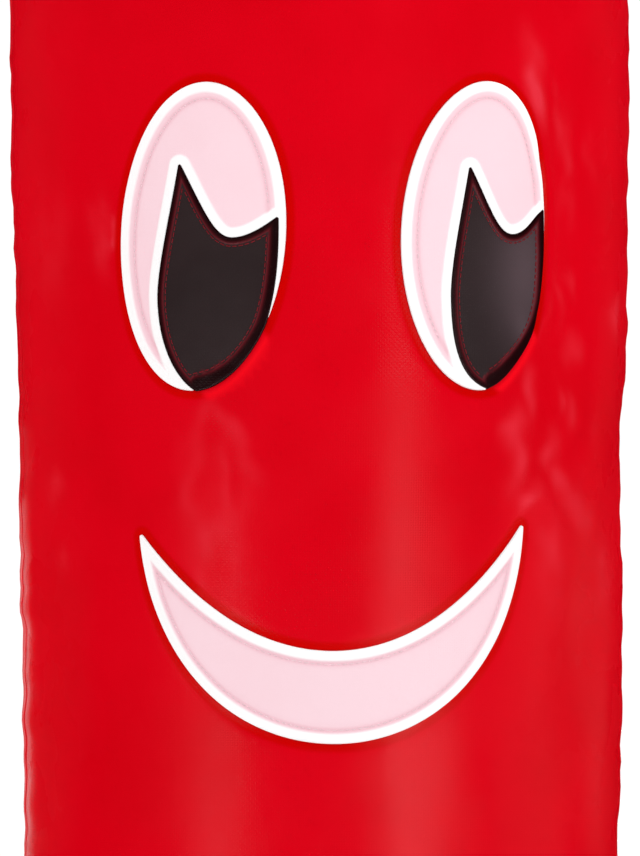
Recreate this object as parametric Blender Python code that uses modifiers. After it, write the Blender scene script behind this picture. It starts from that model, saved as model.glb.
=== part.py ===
"""Inflatable air dancer: an upright cloth tube that a blower fills with air.

The tube is sewn from a front and a back panel. Two tapered arms are set into the side seams, strips
of cloth make the hair and the fingers, and a doubled cuff at the foot goes over the blower's outlet.
The face is sewn onto the front panel: two oval eyes, each a white crescent with a black pupil, and a
crescent mouth.

Metres, +Z up. The origin is on the floor at the middle of the foot, and the face looks along -Y.
Cloth is laid out flat first, with `arc` running round the tube from the middle of the front and
`height` up it, and is then bent onto the tube. The first lines of sizes drive everything else.
"""

import math
import random
from collections import namedtuple

import bmesh
import bpy
from mathutils import Matrix, Vector

# --- Driving dimensions --------------------------------------------------------------------------

TUBE_RADIUS = 0.1525  # half of a 305 mm (12 inch) blower outlet, which the tube is cut to fit
RIM_HEIGHT = 2.78  # floor to the open top of the head
SHOULDER_HEIGHT = 2.0  # where the arms' centre lines meet the tube's axis
FACE_TOP = 2.68  # the face's heights are measured down from this line

CLOTH = 0.002  # wall of the tube and the arms
PATCH = 0.0012  # a sewn-on patch
BAND = 0.0016  # the cuff, and the bands and strips of the fringes
SEWN_GAP = 0.0004  # between a piece and the cloth it is sewn to
SEAM_GAP = 0.0003  # between two panels, edge to edge

# --- The tube ------------------------------------------------------------------------------------

Section = namedtuple("Section", "height radius sway")
TUBE_SECTIONS = (
    Section(0.00, TUBE_RADIUS, 0.000),
    Section(0.09, TUBE_RADIUS, 0.000),
    Section(0.30, 0.1570, 0.003),
    Section(0.75, 0.1548, 0.010),
    Section(1.20, 0.1562, -0.004),
    Section(1.62, 0.1548, -0.007),
    Section(1.88, TUBE_RADIUS, 0.000),
    Section(2.16, TUBE_RADIUS, 0.000),
    Section(2.25, 0.1519, 0.001),
    Section(2.36, 0.1533, 0.001),
    Section(2.44, 0.1541, 0.001),
    Section(2.50, 0.1556, 0.001),
    Section(2.56, 0.1564, 0.000),
    Section(2.68, 0.1574, 0.000),
    Section(2.74, 0.1562, 0.000),
    Section(RIM_HEIGHT, 0.1550, 0.000),
)

# Soft troughs in the skin. The slant is the crease's own direction, up from the arc.
Crease = namedtuple("Crease", "angle height slant length width depth")
CREASES = (
    Crease(47, 2.560, 90, 0.100, 0.029, 0.0060),  # tuck beside the right eye
    Crease(66, 2.400, 62, 0.110, 0.030, 0.0040),
    Crease(-70, 2.330, 75, 0.120, 0.034, 0.0035),
    Crease(148, 2.480, 12, 0.120, 0.050, 0.0070),
    Crease(-160, 2.300, -20, 0.150, 0.050, 0.0060),
    Crease(40, 1.800, 52, 0.150, 0.042, 0.0080),  # drag lines below the arms
    Crease(-46, 1.770, -47, 0.170, 0.045, 0.0090),
    Crease(140, 1.790, -50, 0.150, 0.042, 0.0080),
    Crease(-138, 1.820, 55, 0.140, 0.042, 0.0070),
    Crease(-14, 1.500, 6, 0.190, 0.055, 0.0110),  # kinks where the column gives as it sways
    Crease(96, 1.360, -10, 0.170, 0.055, 0.0100),
    Crease(-118, 1.260, 12, 0.180, 0.060, 0.0100),
    Crease(30, 0.950, -8, 0.180, 0.055, 0.0100),
    Crease(-152, 0.800, 9, 0.200, 0.060, 0.0110),
    Crease(-60, 0.620, 16, 0.160, 0.055, 0.0090),
    Crease(110, 0.520, -14, 0.170, 0.055, 0.0090),
    Crease(10, 0.290, 80, 0.120, 0.040, 0.0060),  # gathers above the cuff
    Crease(-85, 0.250, 84, 0.110, 0.040, 0.0060),
    Crease(165, 0.270, 82, 0.120, 0.040, 0.0060),
)
PLAIN_FOOT = (0.08, 0.20)  # creases fade in between these heights
PLAIN_RIM = (2.66, 2.75)  # and out between these
PLAIN_SHOULDER = (0.11, 0.20)  # and in between these distances from an arm's centre
SEAM_DRAW = 0.0015  # how far a side seam pulls in
SEAM_REACH = 0.016

# Columns of faces across each half of the tube. The patches bend on the same lines as the front.
COLUMNS = {"front_panel": 24, "back_panel": 18}
BODY_SIDES = 72  # sides of the cylinder that trims the arms' roots
# Rows of faces up the panel, closer together at the head.
Zone = namedtuple("Zone", "top rows")
PANEL_ZONES = (Zone(0.06, 1), Zone(1.86, 27), Zone(2.16, 6), Zone(RIM_HEIGHT, 21))

CUFF_HEIGHT = 0.06

# --- The arms ------------------------------------------------------------------------------------

ARM_SLANT = math.radians(30)  # above level, where the arm leaves the body
WRIST_SLANTS = {"left": math.radians(62), "right": math.radians(56)}
ARM_START = 0.09  # distances along the arm are measured from the tube's axis
ARM_STRAIGHT = 0.23  # the arm is straight and even up to here
ARM_END = 0.88
ARM_SIDES = 16
ARM_STEP = 0.05
ArmSection = namedtuple("ArmSection", "along radius")
ARM_SECTIONS = (
    ArmSection(ARM_START, 0.0760),
    ArmSection(ARM_STRAIGHT, 0.0760),
    ArmSection(0.38, 0.0725),
    ArmSection(0.62, 0.0635),
    ArmSection(0.80, 0.0560),
    ArmSection(0.84, 0.0545),
    ArmSection(ARM_END, 0.0545),
)
# Buckles on the inside of the arm's bend. The turn, in degrees, is measured round the arm from its
# upper side, towards the front on the right arm and towards the back on the left one.
Buckle = namedtuple("Buckle", "along turn length spread depth")
ARM_BUCKLES = {
    "left": (Buckle(0.50, 8, 0.040, 70, 0.0130), Buckle(0.66, -150, 0.035, 60, 0.0060)),
    "right": (Buckle(0.54, -12, 0.042, 70, 0.0120), Buckle(0.70, 165, 0.035, 60, 0.0060)),
}

# --- The fringes ---------------------------------------------------------------------------------

# Angles in degrees. The strips lean out from `lean` at the root to `curl` at the tip.
Fringe = namedtuple("Fringe", "strips share band length spread lean curl swirl seed")
HAIR = Fringe(18, 0.72, 0.030, 0.270, 0.035, 4, 74, 16, 12)
HANDS = {
    "left": Fringe(8, 0.74, 0.026, 0.190, 0.025, 3, 40, 12, 13),
    "right": Fringe(8, 0.74, 0.026, 0.190, 0.025, 3, 40, 12, 38),
}
STRIP_STEPS = 6
STRIP_TAPER = 0.22  # how much narrower a strip is at its tip

# --- The face ------------------------------------------------------------------------------------

EYE_WIDTH = 0.0888
EYE_TALL = 0.1562
EYE_LEAN = math.radians(-3.9)  # the tops lean to the right
EYE_ARC = 0.0726  # each eye's middle, round from the middle of the front
EYE_HEIGHT = FACE_TOP - 0.1222

# The pupils, measured from the middle of the eye. The right one is sewn a little narrower.
Pupil = namedtuple("Pupil", "apex bulge")
PUPILS = {
    "left": Pupil(Vector((-0.0098, 0.0368)), Vector((-0.0229, -0.0310))),
    "right": Pupil(Vector((-0.0080, 0.0342)), Vector((-0.0187, -0.0310))),
}
PUPIL_SCOOP = Vector((0.0174, -0.0009))
# Turns round the eye's edge, from its right end.
PUPIL_FOOT_TURN = math.radians(-90)
PUPIL_FLUSH_TURN = math.radians(-33)  # from the foot to here the pupil reaches the eye's edge
PUPIL_TIP_TURN = math.radians(10.5)
PUPIL_INSET = 0.0039  # white left between the pupil's right side and the eye's edge

MOUTH_HALF = 0.1045
MOUTH_THICK = 0.0470
MOUTH_UPPER_RISE = 0.0645
MOUTH_LOWER_RISE = 0.1158
MOUTH_LEAN = math.radians(1.8)  # the right corner is a little higher
MOUTH_ARC = -0.0013
MOUTH_BOTTOM = FACE_TOP - 0.3760

CURVE_POINTS = 7
EYE_POINTS = 44

# --- Materials -----------------------------------------------------------------------------------

Cloth = namedtuple("Cloth", "colour roughness")
RED_NYLON = Cloth((0.72, 0.004, 0.010), 0.45)
WHITE_NYLON = Cloth((0.95, 0.72, 0.77), 0.50)
BLACK_NYLON = Cloth((0.028, 0.020, 0.021), 0.45)


# --- Small tools ---------------------------------------------------------------------------------


def clear_scene():
    """Removes what the scene holds before the model is built."""
    for found in list(bpy.data.objects):
        bpy.data.objects.remove(found)


def new_collection(name):
    """Adds a collection to the scene."""
    made = bpy.data.collections.new(name)
    bpy.context.scene.collection.children.link(made)
    return made


def new_material(name, cloth):
    """Adds a Principled material with the cloth's colour and roughness."""
    made = bpy.data.materials.new(name)
    made.use_nodes = True
    shader = made.node_tree.nodes["Principled BSDF"]
    shader.inputs["Base Color"].default_value = (*cloth.colour, 1.0)
    shader.inputs["Roughness"].default_value = cloth.roughness
    shader.inputs["Metallic"].default_value = 0.0
    return made


def ease(low, high, at):
    """0 up to `low`, 1 from `high`, and a smooth step between."""
    share = min(1.0, max(0.0, (at - low) / (high - low)))
    return share * share * (3.0 - 2.0 * share)


def along_table(rows, at):
    """A smooth value between the rows of a table, as a row. The first column is what `at` runs along."""
    at = min(rows[-1][0], max(rows[0][0], at))
    upper = next(i for i in range(1, len(rows)) if at <= rows[i][0])
    lower = upper - 1
    span = rows[upper][0] - rows[lower][0]
    share = (at - rows[lower][0]) / span

    def slope(index, column):
        before, after = rows[max(0, index - 1)], rows[min(len(rows) - 1, index + 1)]
        return (after[column] - before[column]) / (after[0] - before[0])

    values = [at]
    for column in range(1, len(rows[0])):
        start, end = rows[lower][column], rows[upper][column]
        leave, arrive = slope(lower, column) * span, slope(upper, column) * span
        cubic = (2 * start - 2 * end + leave + arrive) * share**3
        square = (-3 * start + 3 * end - 2 * leave - arrive) * share**2
        values.append(cubic + square + leave * share + start)
    return type(rows[0])(*values)


def bezier(start, leave, arrive, end, points):
    """Points along a cubic curve, the last one left out."""
    made = []
    for index in range(points):
        t = index / points
        made.append(
            start * (1 - t) ** 3
            + leave * 3 * t * (1 - t) ** 2
            + arrive * 3 * t**2 * (1 - t)
            + end * t**3
        )
    return made


def turned(point, angle):
    """A flat point turned about the origin."""
    return Matrix.Rotation(angle, 2) @ Vector(point)


# --- The tube's surface --------------------------------------------------------------------------


def around(arc):
    """The same place on the tube with its arc between the two sides of the back seam line."""
    girth = 2 * math.pi * TUBE_RADIUS
    return (arc + girth / 2) % girth - girth / 2


def crease_depth(arc, height):
    """How far the skin is pushed in by its creases and side seams."""
    shoulder = min(
        math.hypot(abs(around(arc)) - math.pi / 2 * TUBE_RADIUS, height - level)
        for level in (SHOULDER_HEIGHT, SHOULDER_HEIGHT + TUBE_RADIUS * math.tan(ARM_SLANT))
    )
    loose = (
        ease(*PLAIN_FOOT, height) * (1 - ease(*PLAIN_RIM, height)) * ease(*PLAIN_SHOULDER, shoulder)
    )
    depth = 0.0
    for crease in CREASES:
        side = around(arc - math.radians(crease.angle) * TUBE_RADIUS)
        rise = height - crease.height
        slant = math.radians(crease.slant)
        run = side * math.cos(slant) + rise * math.sin(slant)
        across = rise * math.cos(slant) - side * math.sin(slant)
        depth += crease.depth * math.exp(-((run / crease.length) ** 2) - (across / crease.width) ** 2)
    seam = abs(abs(around(arc)) - math.pi / 2 * TUBE_RADIUS)
    return loose * (depth + SEAM_DRAW * math.exp(-((seam / SEAM_REACH) ** 2)))


def skin_point(arc, height, out):
    """The point on the tube at that arc and height, and that far out from its skin."""
    section = along_table(TUBE_SECTIONS, height)
    angle = arc / TUBE_RADIUS
    radius = section.radius - crease_depth(arc, height) + out
    return Vector((section.sway + radius * math.sin(angle), -radius * math.cos(angle), height))


# --- Making pieces -------------------------------------------------------------------------------


def add_object(name, mesh, collection, material=None):
    """Links a mesh object with its material."""
    made = bpy.data.objects.new(name, mesh)
    collection.objects.link(made)
    if material:
        mesh.materials.append(material)
    return made


def smooth(made, sharp_angle=40):
    """Shades a piece smooth but for its edges."""
    made.data.shade_smooth()
    made.data.set_sharp_from_angle(angle=math.radians(sharp_angle))


def settle(made, cutters):
    """Takes the cutters out of a piece, and keeps the result as its mesh."""
    for cutter in cutters:
        cut = made.modifiers.new("cut", "BOOLEAN")
        cut.operation = "DIFFERENCE"
        cut.solver = "EXACT"
        cut.object = cutter
    view = bpy.context.evaluated_depsgraph_get()
    view.update()
    done = bpy.data.meshes.new_from_object(made.evaluated_get(view))
    made.modifiers.clear()
    made.data = done
    return made


def slice_flat(mesh, columns, rows):
    """Cuts a flat piece along upright and level lines, so that it can be bent."""
    shape = bmesh.new()
    shape.from_mesh(mesh)
    bmesh.ops.remove_doubles(shape, verts=shape.verts, dist=1e-6)
    bmesh.ops.dissolve_limit(shape, angle_limit=1e-3, verts=shape.verts, edges=shape.edges)
    cuts = [((x, 0, 0), (1, 0, 0)) for x in columns] + [((0, y, 0), (0, 1, 0)) for y in rows]
    for place, across in cuts:
        everything = [*shape.verts, *shape.edges, *shape.faces]
        bmesh.ops.bisect_plane(shape, geom=everything, dist=1e-7, plane_co=place, plane_no=across)
    bmesh.ops.triangulate(shape, faces=[face for face in shape.faces if len(face.verts) > 4])
    shape.to_mesh(mesh)
    shape.free()


def bend_onto_tube(made):
    """Bends a flat piece onto the tube: x is the arc, y the height and z the distance out from the skin."""
    for vertex in made.data.vertices:
        vertex.co = skin_point(*vertex.co)
    smooth(made)
    return made


def flat_box(name, arcs, heights, outs, collection, material):
    """A flat rectangle of cloth between two arcs, two heights and two distances out from the skin."""
    shape = bmesh.new()
    bmesh.ops.create_cube(shape, size=1.0)
    low = Vector((arcs[0], heights[0], outs[0]))
    high = Vector((arcs[1], heights[1], outs[1]))
    bmesh.ops.scale(shape, vec=high - low, verts=shape.verts)
    bmesh.ops.translate(shape, vec=(low + high) / 2, verts=shape.verts)
    mesh = bpy.data.meshes.new(name)
    shape.to_mesh(mesh)
    shape.free()
    return add_object(name, mesh, collection, material)


def flat_patch(name, outline, outs, collection, material):
    """A patch with a flat outline, as a closed mesh between two distances out from the skin."""
    curve = bpy.data.curves.new(name, "CURVE")
    curve.dimensions = "2D"
    curve.fill_mode = "BOTH"
    curve.extrude = (outs[1] - outs[0]) / 2
    spline = curve.splines.new("POLY")
    spline.points.add(len(outline) - 1)
    for point, place in zip(spline.points, outline):
        point.co = (place.x, place.y, 0, 1)
    spline.use_cyclic_u = True
    drawn = bpy.data.objects.new(name + "_outline", curve)
    collection.objects.link(drawn)
    drawn.location.z = (outs[0] + outs[1]) / 2
    view = bpy.context.evaluated_depsgraph_get()
    view.update()
    mesh = bpy.data.meshes.new_from_object(drawn.evaluated_get(view))
    mesh.transform(drawn.matrix_world)
    bpy.data.objects.remove(drawn)
    shape = bmesh.new()
    shape.from_mesh(mesh)
    bmesh.ops.remove_doubles(shape, verts=shape.verts, dist=1e-6)
    bmesh.ops.recalc_face_normals(shape, faces=shape.faces)
    shape.to_mesh(mesh)
    shape.free()
    return add_object(name, mesh, collection, material)


def steps_between(low, high, step):
    """Even places between two ends, both left out, no more than a step apart."""
    count = math.ceil((high - low) / step)
    return [low + (high - low) * index / count for index in range(1, count)]


def sew_on(made):
    """Slices a flat patch along the front panel's lines and bends it onto the tube."""
    slice_flat(made.data, panel_arcs("front_panel"), panel_heights())
    return bend_onto_tube(made)


# --- The tube's pieces ---------------------------------------------------------------------------


def panel_arcs(name, middle=0.0):
    """The places of a panel's upright cuts."""
    count = COLUMNS[name]
    half = math.pi / 2 * TUBE_RADIUS
    return [middle + half * (2 * column / count - 1) for column in range(1, count)]


def panel_heights():
    """The heights of the panels' level cuts."""
    heights, below = [], 0.0
    for zone in PANEL_ZONES:
        heights += [below + (zone.top - below) * row / zone.rows for row in range(1, zone.rows + 1)]
        below = zone.top
    return heights[:-1]


def tube_panel(name, middle, holes, collection, material):
    """Half of the tube, whose middle is at that arc, with the notches that the arms are sewn into."""
    edge = math.pi / 2 * TUBE_RADIUS - SEAM_GAP / 2
    arcs = (middle - edge, middle + edge)
    made = flat_box(name, arcs, (0.0, RIM_HEIGHT), (-CLOTH, 0.0), collection, material)
    slice_flat(made.data, panel_arcs(name, middle), panel_heights())
    return settle(bend_onto_tube(made), holes)


def base_cuff(collection, material):
    """The doubled band round the foot. Its ends meet at the back."""
    half = math.pi * TUBE_RADIUS - SEAM_GAP
    outs = (SEWN_GAP, SEWN_GAP + BAND)
    made = flat_box("base_cuff", (-half, half), (0.0, CUFF_HEIGHT), outs, collection, material)
    girth = 2 * math.pi * TUBE_RADIUS
    back = panel_arcs("back_panel", girth / 2)
    quarters = [-girth / 4, girth / 4]
    arcs = panel_arcs("front_panel") + quarters + [around(arc) for arc in back]
    slice_flat(made.data, sorted(arcs), [CUFF_HEIGHT / 2])
    return bend_onto_tube(made)


# --- The arms ------------------------------------------------------------------------------------


def arm_place(side, along):
    """The centre and the direction of an arm at a distance along it."""
    sign = -1 if side == "left" else 1
    place = Vector((0, 0, SHOULDER_HEIGHT))
    done, step = 0.0, 0.01
    slant = ARM_SLANT
    while done < along:
        move = min(step, along - done)
        bent = ease(ARM_STRAIGHT, ARM_END, done + move / 2)
        slant = ARM_SLANT + (WRIST_SLANTS[side] - ARM_SLANT) * bent
        place += move * Vector((sign * math.cos(slant), 0, math.sin(slant)))
        done += move
    return place, Vector((sign * math.cos(slant), 0, math.sin(slant)))


def across_arm(direction):
    """A turn that sends +Z along the arm, +X to its upper side and keeps Y level."""
    level = Vector((0, -1 if direction.x > 0 else 1, 0))
    upper = level.cross(direction)
    return Matrix((upper, level, direction)).transposed().to_4x4()


def buckle_depth(side, along, turn):
    """How far the arm's skin is pushed in."""
    depth = 0.0
    for buckle in ARM_BUCKLES[side]:
        run = (along - buckle.along) / buckle.length
        off = (math.degrees(turn) - buckle.turn + 180) % 360 - 180
        depth += buckle.depth * math.exp(-(run**2) - (off / buckle.spread) ** 2)
    return depth


def arm(side, collection, material, body_space):
    """A tapered sleeve, open at both ends, whose root is cut off flush inside the tube."""
    rings = [ARM_START, ARM_STRAIGHT]
    rings += steps_between(ARM_STRAIGHT, ARM_END - HANDS[side].band, ARM_STEP)
    rings += [ARM_END - HANDS[side].band, ARM_END]
    shape = bmesh.new()
    bmesh.ops.create_cone(shape, segments=ARM_SIDES, radius1=1, radius2=1, depth=1, cap_ends=False)
    bmesh.ops.translate(shape, vec=(0, 0, 0.5), verts=shape.verts)
    for ring in rings[1:-1]:
        everything = [*shape.verts, *shape.edges, *shape.faces]
        height = (ring - ARM_START) / (ARM_END - ARM_START)
        bmesh.ops.bisect_plane(shape, geom=everything, plane_co=(0, 0, height), plane_no=(0, 0, 1))
    for vertex in shape.verts:
        along = ARM_START + vertex.co.z * (ARM_END - ARM_START)
        place, direction = arm_place(side, along)
        turn = math.atan2(vertex.co.y, vertex.co.x)
        radius = along_table(ARM_SECTIONS, along).radius - buckle_depth(side, along, turn)
        spoke = Vector((radius * vertex.co.x, radius * vertex.co.y, 0))
        vertex.co = place + across_arm(direction) @ spoke
    mesh = bpy.data.meshes.new("arm_" + side)
    shape.to_mesh(mesh)
    shape.free()
    made = add_object("arm_" + side, mesh, collection, material)
    wall = made.modifiers.new("wall", "SOLIDIFY")
    wall.thickness = CLOTH
    wall.offset = -1
    wall.use_even_offset = True
    settle(made, [body_space])
    smooth(made)
    return made


def shoulder_cutter(side, collection):
    """The hole in the tube for an arm, a little larger than the arm."""
    shape = bmesh.new()
    radius = ARM_SECTIONS[0].radius + SEWN_GAP
    bmesh.ops.create_cone(
        shape, segments=ARM_SIDES, radius1=radius, radius2=radius, depth=1, cap_ends=True
    )
    bmesh.ops.translate(shape, vec=(0, 0, 0.5), verts=shape.verts)
    mesh = bpy.data.meshes.new("shoulder_hole")
    shape.to_mesh(mesh)
    shape.free()
    made = add_object("shoulder_hole_" + side, mesh, collection)
    place, direction = arm_place(side, 0.0)
    made.matrix_world = Matrix.Translation(place) @ across_arm(direction)
    made.scale.z = ARM_STRAIGHT + TUBE_RADIUS / 2
    return made


def body_space(collection):
    """The inside of the tube at the shoulders, which trims the arms' roots."""
    shape = bmesh.new()
    inner = TUBE_RADIUS - CLOTH
    bmesh.ops.create_cone(
        shape, segments=BODY_SIDES, radius1=inner, radius2=inner, depth=1, cap_ends=True
    )
    mesh = bpy.data.meshes.new("body_space")
    shape.to_mesh(mesh)
    shape.free()
    made = add_object("body_space", mesh, collection)
    made.location.z = SHOULDER_HEIGHT
    return made


def hide_cutter(cutter):
    """Marks an object as a cutter, which isn't part of the model."""
    cutter.hide_render = True
    cutter.display_type = "WIRE"


# --- The fringes ---------------------------------------------------------------------------------


def strip_path(fringe, chance):
    """The middle of one strip, as (out, up, sideways, lean) at each step from its root."""
    length = fringe.length + fringe.spread * chance.uniform(-1, 1)
    curl = fringe.curl * chance.uniform(0.55, 1.0)
    swirl = fringe.swirl * chance.uniform(-1, 1)
    out = up = sideways = 0.0
    path = []
    for step in range(1, STRIP_STEPS + 1):
        share = step / STRIP_STEPS
        lean = math.radians(fringe.lean + (curl - fringe.lean) * share**1.4)
        veer = math.radians(swirl * share)
        move = length / STRIP_STEPS
        out += move * math.sin(lean) * math.cos(veer)
        up += move * math.cos(lean) * math.cos(veer)
        sideways += move * math.sin(veer)
        path.append((out, up, sideways, lean, share))
    return path


def fringe_ring(name, fringe, inner_radius, collection, material):
    """A band round +Z with strips that rise from its upper edge. The origin is at the band's foot."""
    chance = random.Random(fringe.seed)
    pitch = 2 * math.pi / fringe.strips
    half_strip = pitch * fringe.share / 2
    # A strip is flat across, so the ring stands off far enough for its faces to clear the cloth.
    radius = inner_radius / math.cos(half_strip)
    shape = bmesh.new()
    bmesh.ops.create_cone(
        shape, segments=2 * fringe.strips, radius1=1, radius2=1, depth=1, cap_ends=False
    )
    for vertex in shape.verts:
        corner = round(math.atan2(vertex.co.y, vertex.co.x) / (pitch / 2))
        strip = (corner + 1) // 2
        side = 1 if corner % 2 == 0 else -1
        angle = strip * pitch + side * half_strip
        height = fringe.band * (vertex.co.z + 0.5)
        vertex.co = (radius * math.cos(angle), radius * math.sin(angle), height)
    walls = list(shape.faces)
    outer = bmesh.ops.extrude_face_region(shape, geom=walls)["geom"]
    for vertex in (item for item in outer if isinstance(item, bmesh.types.BMVert)):
        spread = (radius + BAND) / radius
        vertex.co = (vertex.co.x * spread, vertex.co.y * spread, vertex.co.z)
    bmesh.ops.recalc_face_normals(shape, faces=shape.faces)
    top = [
        face
        for face in shape.faces
        if face.normal.z > 0.9 and face.calc_area() > BAND * radius * half_strip
    ]
    top.sort(key=lambda face: math.atan2(face.calc_center_median().y, face.calc_center_median().x))
    for face in top:
        grow_strip(shape, face, strip_path(fringe, chance))
    mesh = bpy.data.meshes.new(name)
    shape.to_mesh(mesh)
    shape.free()
    made = add_object(name, mesh, collection, material)
    smooth(made)
    return made


def grow_strip(shape, face, path):
    """Draws one strip out of a face on the band's upper edge."""
    root = face.calc_center_median()
    angle = math.atan2(root.y, root.x)
    outward = Vector((math.cos(angle), math.sin(angle), 0))
    sideways = Vector((-outward.y, outward.x, 0))
    half_width = max(abs((vertex.co - root) @ sideways) for vertex in face.verts)
    for out, up, side, lean, share in path:
        middle = root + outward * out + Vector((0, 0, up)) + sideways * side
        normal = outward * math.cos(lean) - Vector((0, 0, math.sin(lean)))
        half = half_width * (1 - STRIP_TAPER * share)
        before = {vertex: vertex.co.copy() for vertex in face.verts}
        (face,) = bmesh.ops.extrude_discrete_faces(shape, faces=[face])["faces"]
        corners = {
            vertex: min(before, key=lambda old: (before[old] - vertex.co).length)
            for vertex in face.verts
        }
        centre = sum(before.values(), Vector()) / len(before)
        for vertex, old in corners.items():
            offset = before[old] - centre
            across = math.copysign(half, offset @ sideways)
            depth = math.copysign(BAND / 2, offset @ outward)
            vertex.co = middle + sideways * across + normal * depth


def hand_fringe(side, collection, material):
    """The strips round a wrist, which stand for the fingers."""
    fringe = HANDS[side]
    inner = along_table(ARM_SECTIONS, ARM_END).radius + SEWN_GAP
    made = fringe_ring("hand_fringe_" + side, fringe, inner, collection, material)
    place, direction = arm_place(side, ARM_END - fringe.band)
    made.matrix_world = Matrix.Translation(place) @ across_arm(direction)
    return made


def hair_fringe(collection, material):
    """The strips round the open top of the head."""
    foot = RIM_HEIGHT - HAIR.band
    inner = max(skin_point(0, foot, SEWN_GAP).xy.length, skin_point(0, RIM_HEIGHT, SEWN_GAP).xy.length)
    made = fringe_ring("hair_fringe", HAIR, inner, collection, material)
    made.location.z = foot
    return made


# --- The face ------------------------------------------------------------------------------------


def eye_edge(turn, inset=0.0):
    """A point on the eye's leaning oval, from its middle, with the edge moved in by the inset."""
    oval = Vector(
        ((EYE_WIDTH / 2 - inset) * math.cos(turn), (EYE_TALL / 2 - inset) * math.sin(turn))
    )
    return turned(oval, EYE_LEAN)


def pupil_left_side(pupil):
    """The pupil's left side, from its apex by the bulge to its foot on the eye's edge."""
    foot = eye_edge(PUPIL_FOOT_TURN)
    upper = bezier(
        pupil.apex,
        pupil.apex + Vector((-0.0043, -0.0226)),
        pupil.bulge + Vector((0, 0.0190)),
        pupil.bulge,
        CURVE_POINTS,
    )
    lower = bezier(
        pupil.bulge,
        pupil.bulge + Vector((0, -0.0210)),
        foot + Vector((-0.0095, 0.0075)),
        foot,
        CURVE_POINTS,
    )
    return upper + lower


def pupil_right_side():
    """Up the pupil's right side, on the eye's edge at first and then drawn in from it."""
    count = 2 * CURVE_POINTS
    span = PUPIL_TIP_TURN - PUPIL_FOOT_TURN
    turns = [PUPIL_FOOT_TURN + span * index / count for index in range(count)]
    return [eye_edge(turn, pupil_inset(turn)) for turn in turns]


def pupil_inset(turn):
    """How much white is left between the pupil's right side and the eye's edge."""
    return PUPIL_INSET * ease(PUPIL_FLUSH_TURN, PUPIL_TIP_TURN, turn) ** 0.6


def pupil_scoop(pupil):
    """The scoop in the pupil's top, from its right tip round to its apex."""
    tip = eye_edge(PUPIL_TIP_TURN, PUPIL_INSET)
    falling = bezier(
        tip,
        tip + Vector((-0.0066, -0.0048)),
        PUPIL_SCOOP + Vector((0.0085, 0)),
        PUPIL_SCOOP,
        CURVE_POINTS,
    )
    rising = bezier(
        PUPIL_SCOOP,
        PUPIL_SCOOP + Vector((-0.0095, 0)),
        pupil.apex + Vector((0.0112, -0.0225)),
        pupil.apex,
        CURVE_POINTS,
    )
    return falling + rising


def pupil_outline(pupil):
    """The whole pupil."""
    return pupil_left_side(pupil) + pupil_right_side() + pupil_scoop(pupil)


def eye_white_outline(pupil):
    """The white: round the eye's edge from where the pupil leaves it, and back along the pupil."""
    span = 2 * math.pi + PUPIL_FOOT_TURN - PUPIL_FLUSH_TURN
    turns = [PUPIL_FLUSH_TURN + span * index / EYE_POINTS for index in range(EYE_POINTS)]
    edge = [eye_edge(turn) for turn in turns] + [eye_edge(PUPIL_FOOT_TURN)]
    left = pupil_left_side(pupil)[:0:-1]
    scoop = [pupil.apex] + pupil_scoop(pupil)[::-1]
    past_flush = PUPIL_FLUSH_TURN + math.radians(2)
    right = [point for point in pupil_right_side()[::-1] if eye_turn(point) > past_flush]
    return edge + left + scoop + right


def eye_turn(point):
    """The turn of a point round the eye's leaning oval."""
    upright = turned(point, -EYE_LEAN)
    return math.atan2(upright.y / EYE_TALL, upright.x / EYE_WIDTH)


def drawn_in(outline, distance):
    """A counter-clockwise outline moved in by a distance, corner by corner."""
    made = []
    for index, point in enumerate(outline):
        before = (point - outline[index - 1]).normalized()
        after = (outline[(index + 1) % len(outline)] - point).normalized()
        inward = Vector((-before.y - after.y, before.x + after.x)).normalized()
        sharpness = max(0.35, inward @ Vector((-before.y, before.x)))
        made.append(point + inward * distance / sharpness)
    return made


def mouth_outline():
    """The crescent, from its left corner along the lower edge and back along the upper."""
    lower, upper = [], []
    count = 4 * CURVE_POINTS
    for index in range(count + 1):
        share = -math.cos(math.pi * index / count)
        run = MOUTH_HALF * share
        low = MOUTH_LOWER_RISE * (1 - math.sqrt(1 - share * share * 0.995))
        high = MOUTH_THICK + MOUTH_UPPER_RISE * share * share
        lower.append(Vector((run, min(low, high))))
        upper.append(Vector((run, high)))
    outline = lower + upper[-2:0:-1]
    return [turned(point, MOUTH_LEAN) for point in outline]


def moved(outline, arc, height):
    """An outline moved to its place on the laid-out front."""
    return [point + Vector((arc, height)) for point in outline]


def add_eye(side, collection, white, black):
    """One eye: the white and, fitted into it, the pupil."""
    arc = -EYE_ARC if side == "left" else EYE_ARC
    outs = (SEWN_GAP, SEWN_GAP + PATCH)
    outline = moved(eye_white_outline(PUPILS[side]), arc, EYE_HEIGHT)
    sew_on(flat_patch("eye_white_" + side, outline, outs, collection, white))
    outline = moved(drawn_in(pupil_outline(PUPILS[side]), SEWN_GAP), arc, EYE_HEIGHT)
    sew_on(flat_patch("pupil_" + side, outline, outs, collection, black))


def add_mouth(collection, white):
    """The crescent mouth."""
    outs = (SEWN_GAP, SEWN_GAP + PATCH)
    outline = moved(mouth_outline(), MOUTH_ARC, MOUTH_BOTTOM)
    sew_on(flat_patch("mouth", outline, outs, collection, white))


# --- The whole dancer ----------------------------------------------------------------------------


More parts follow.
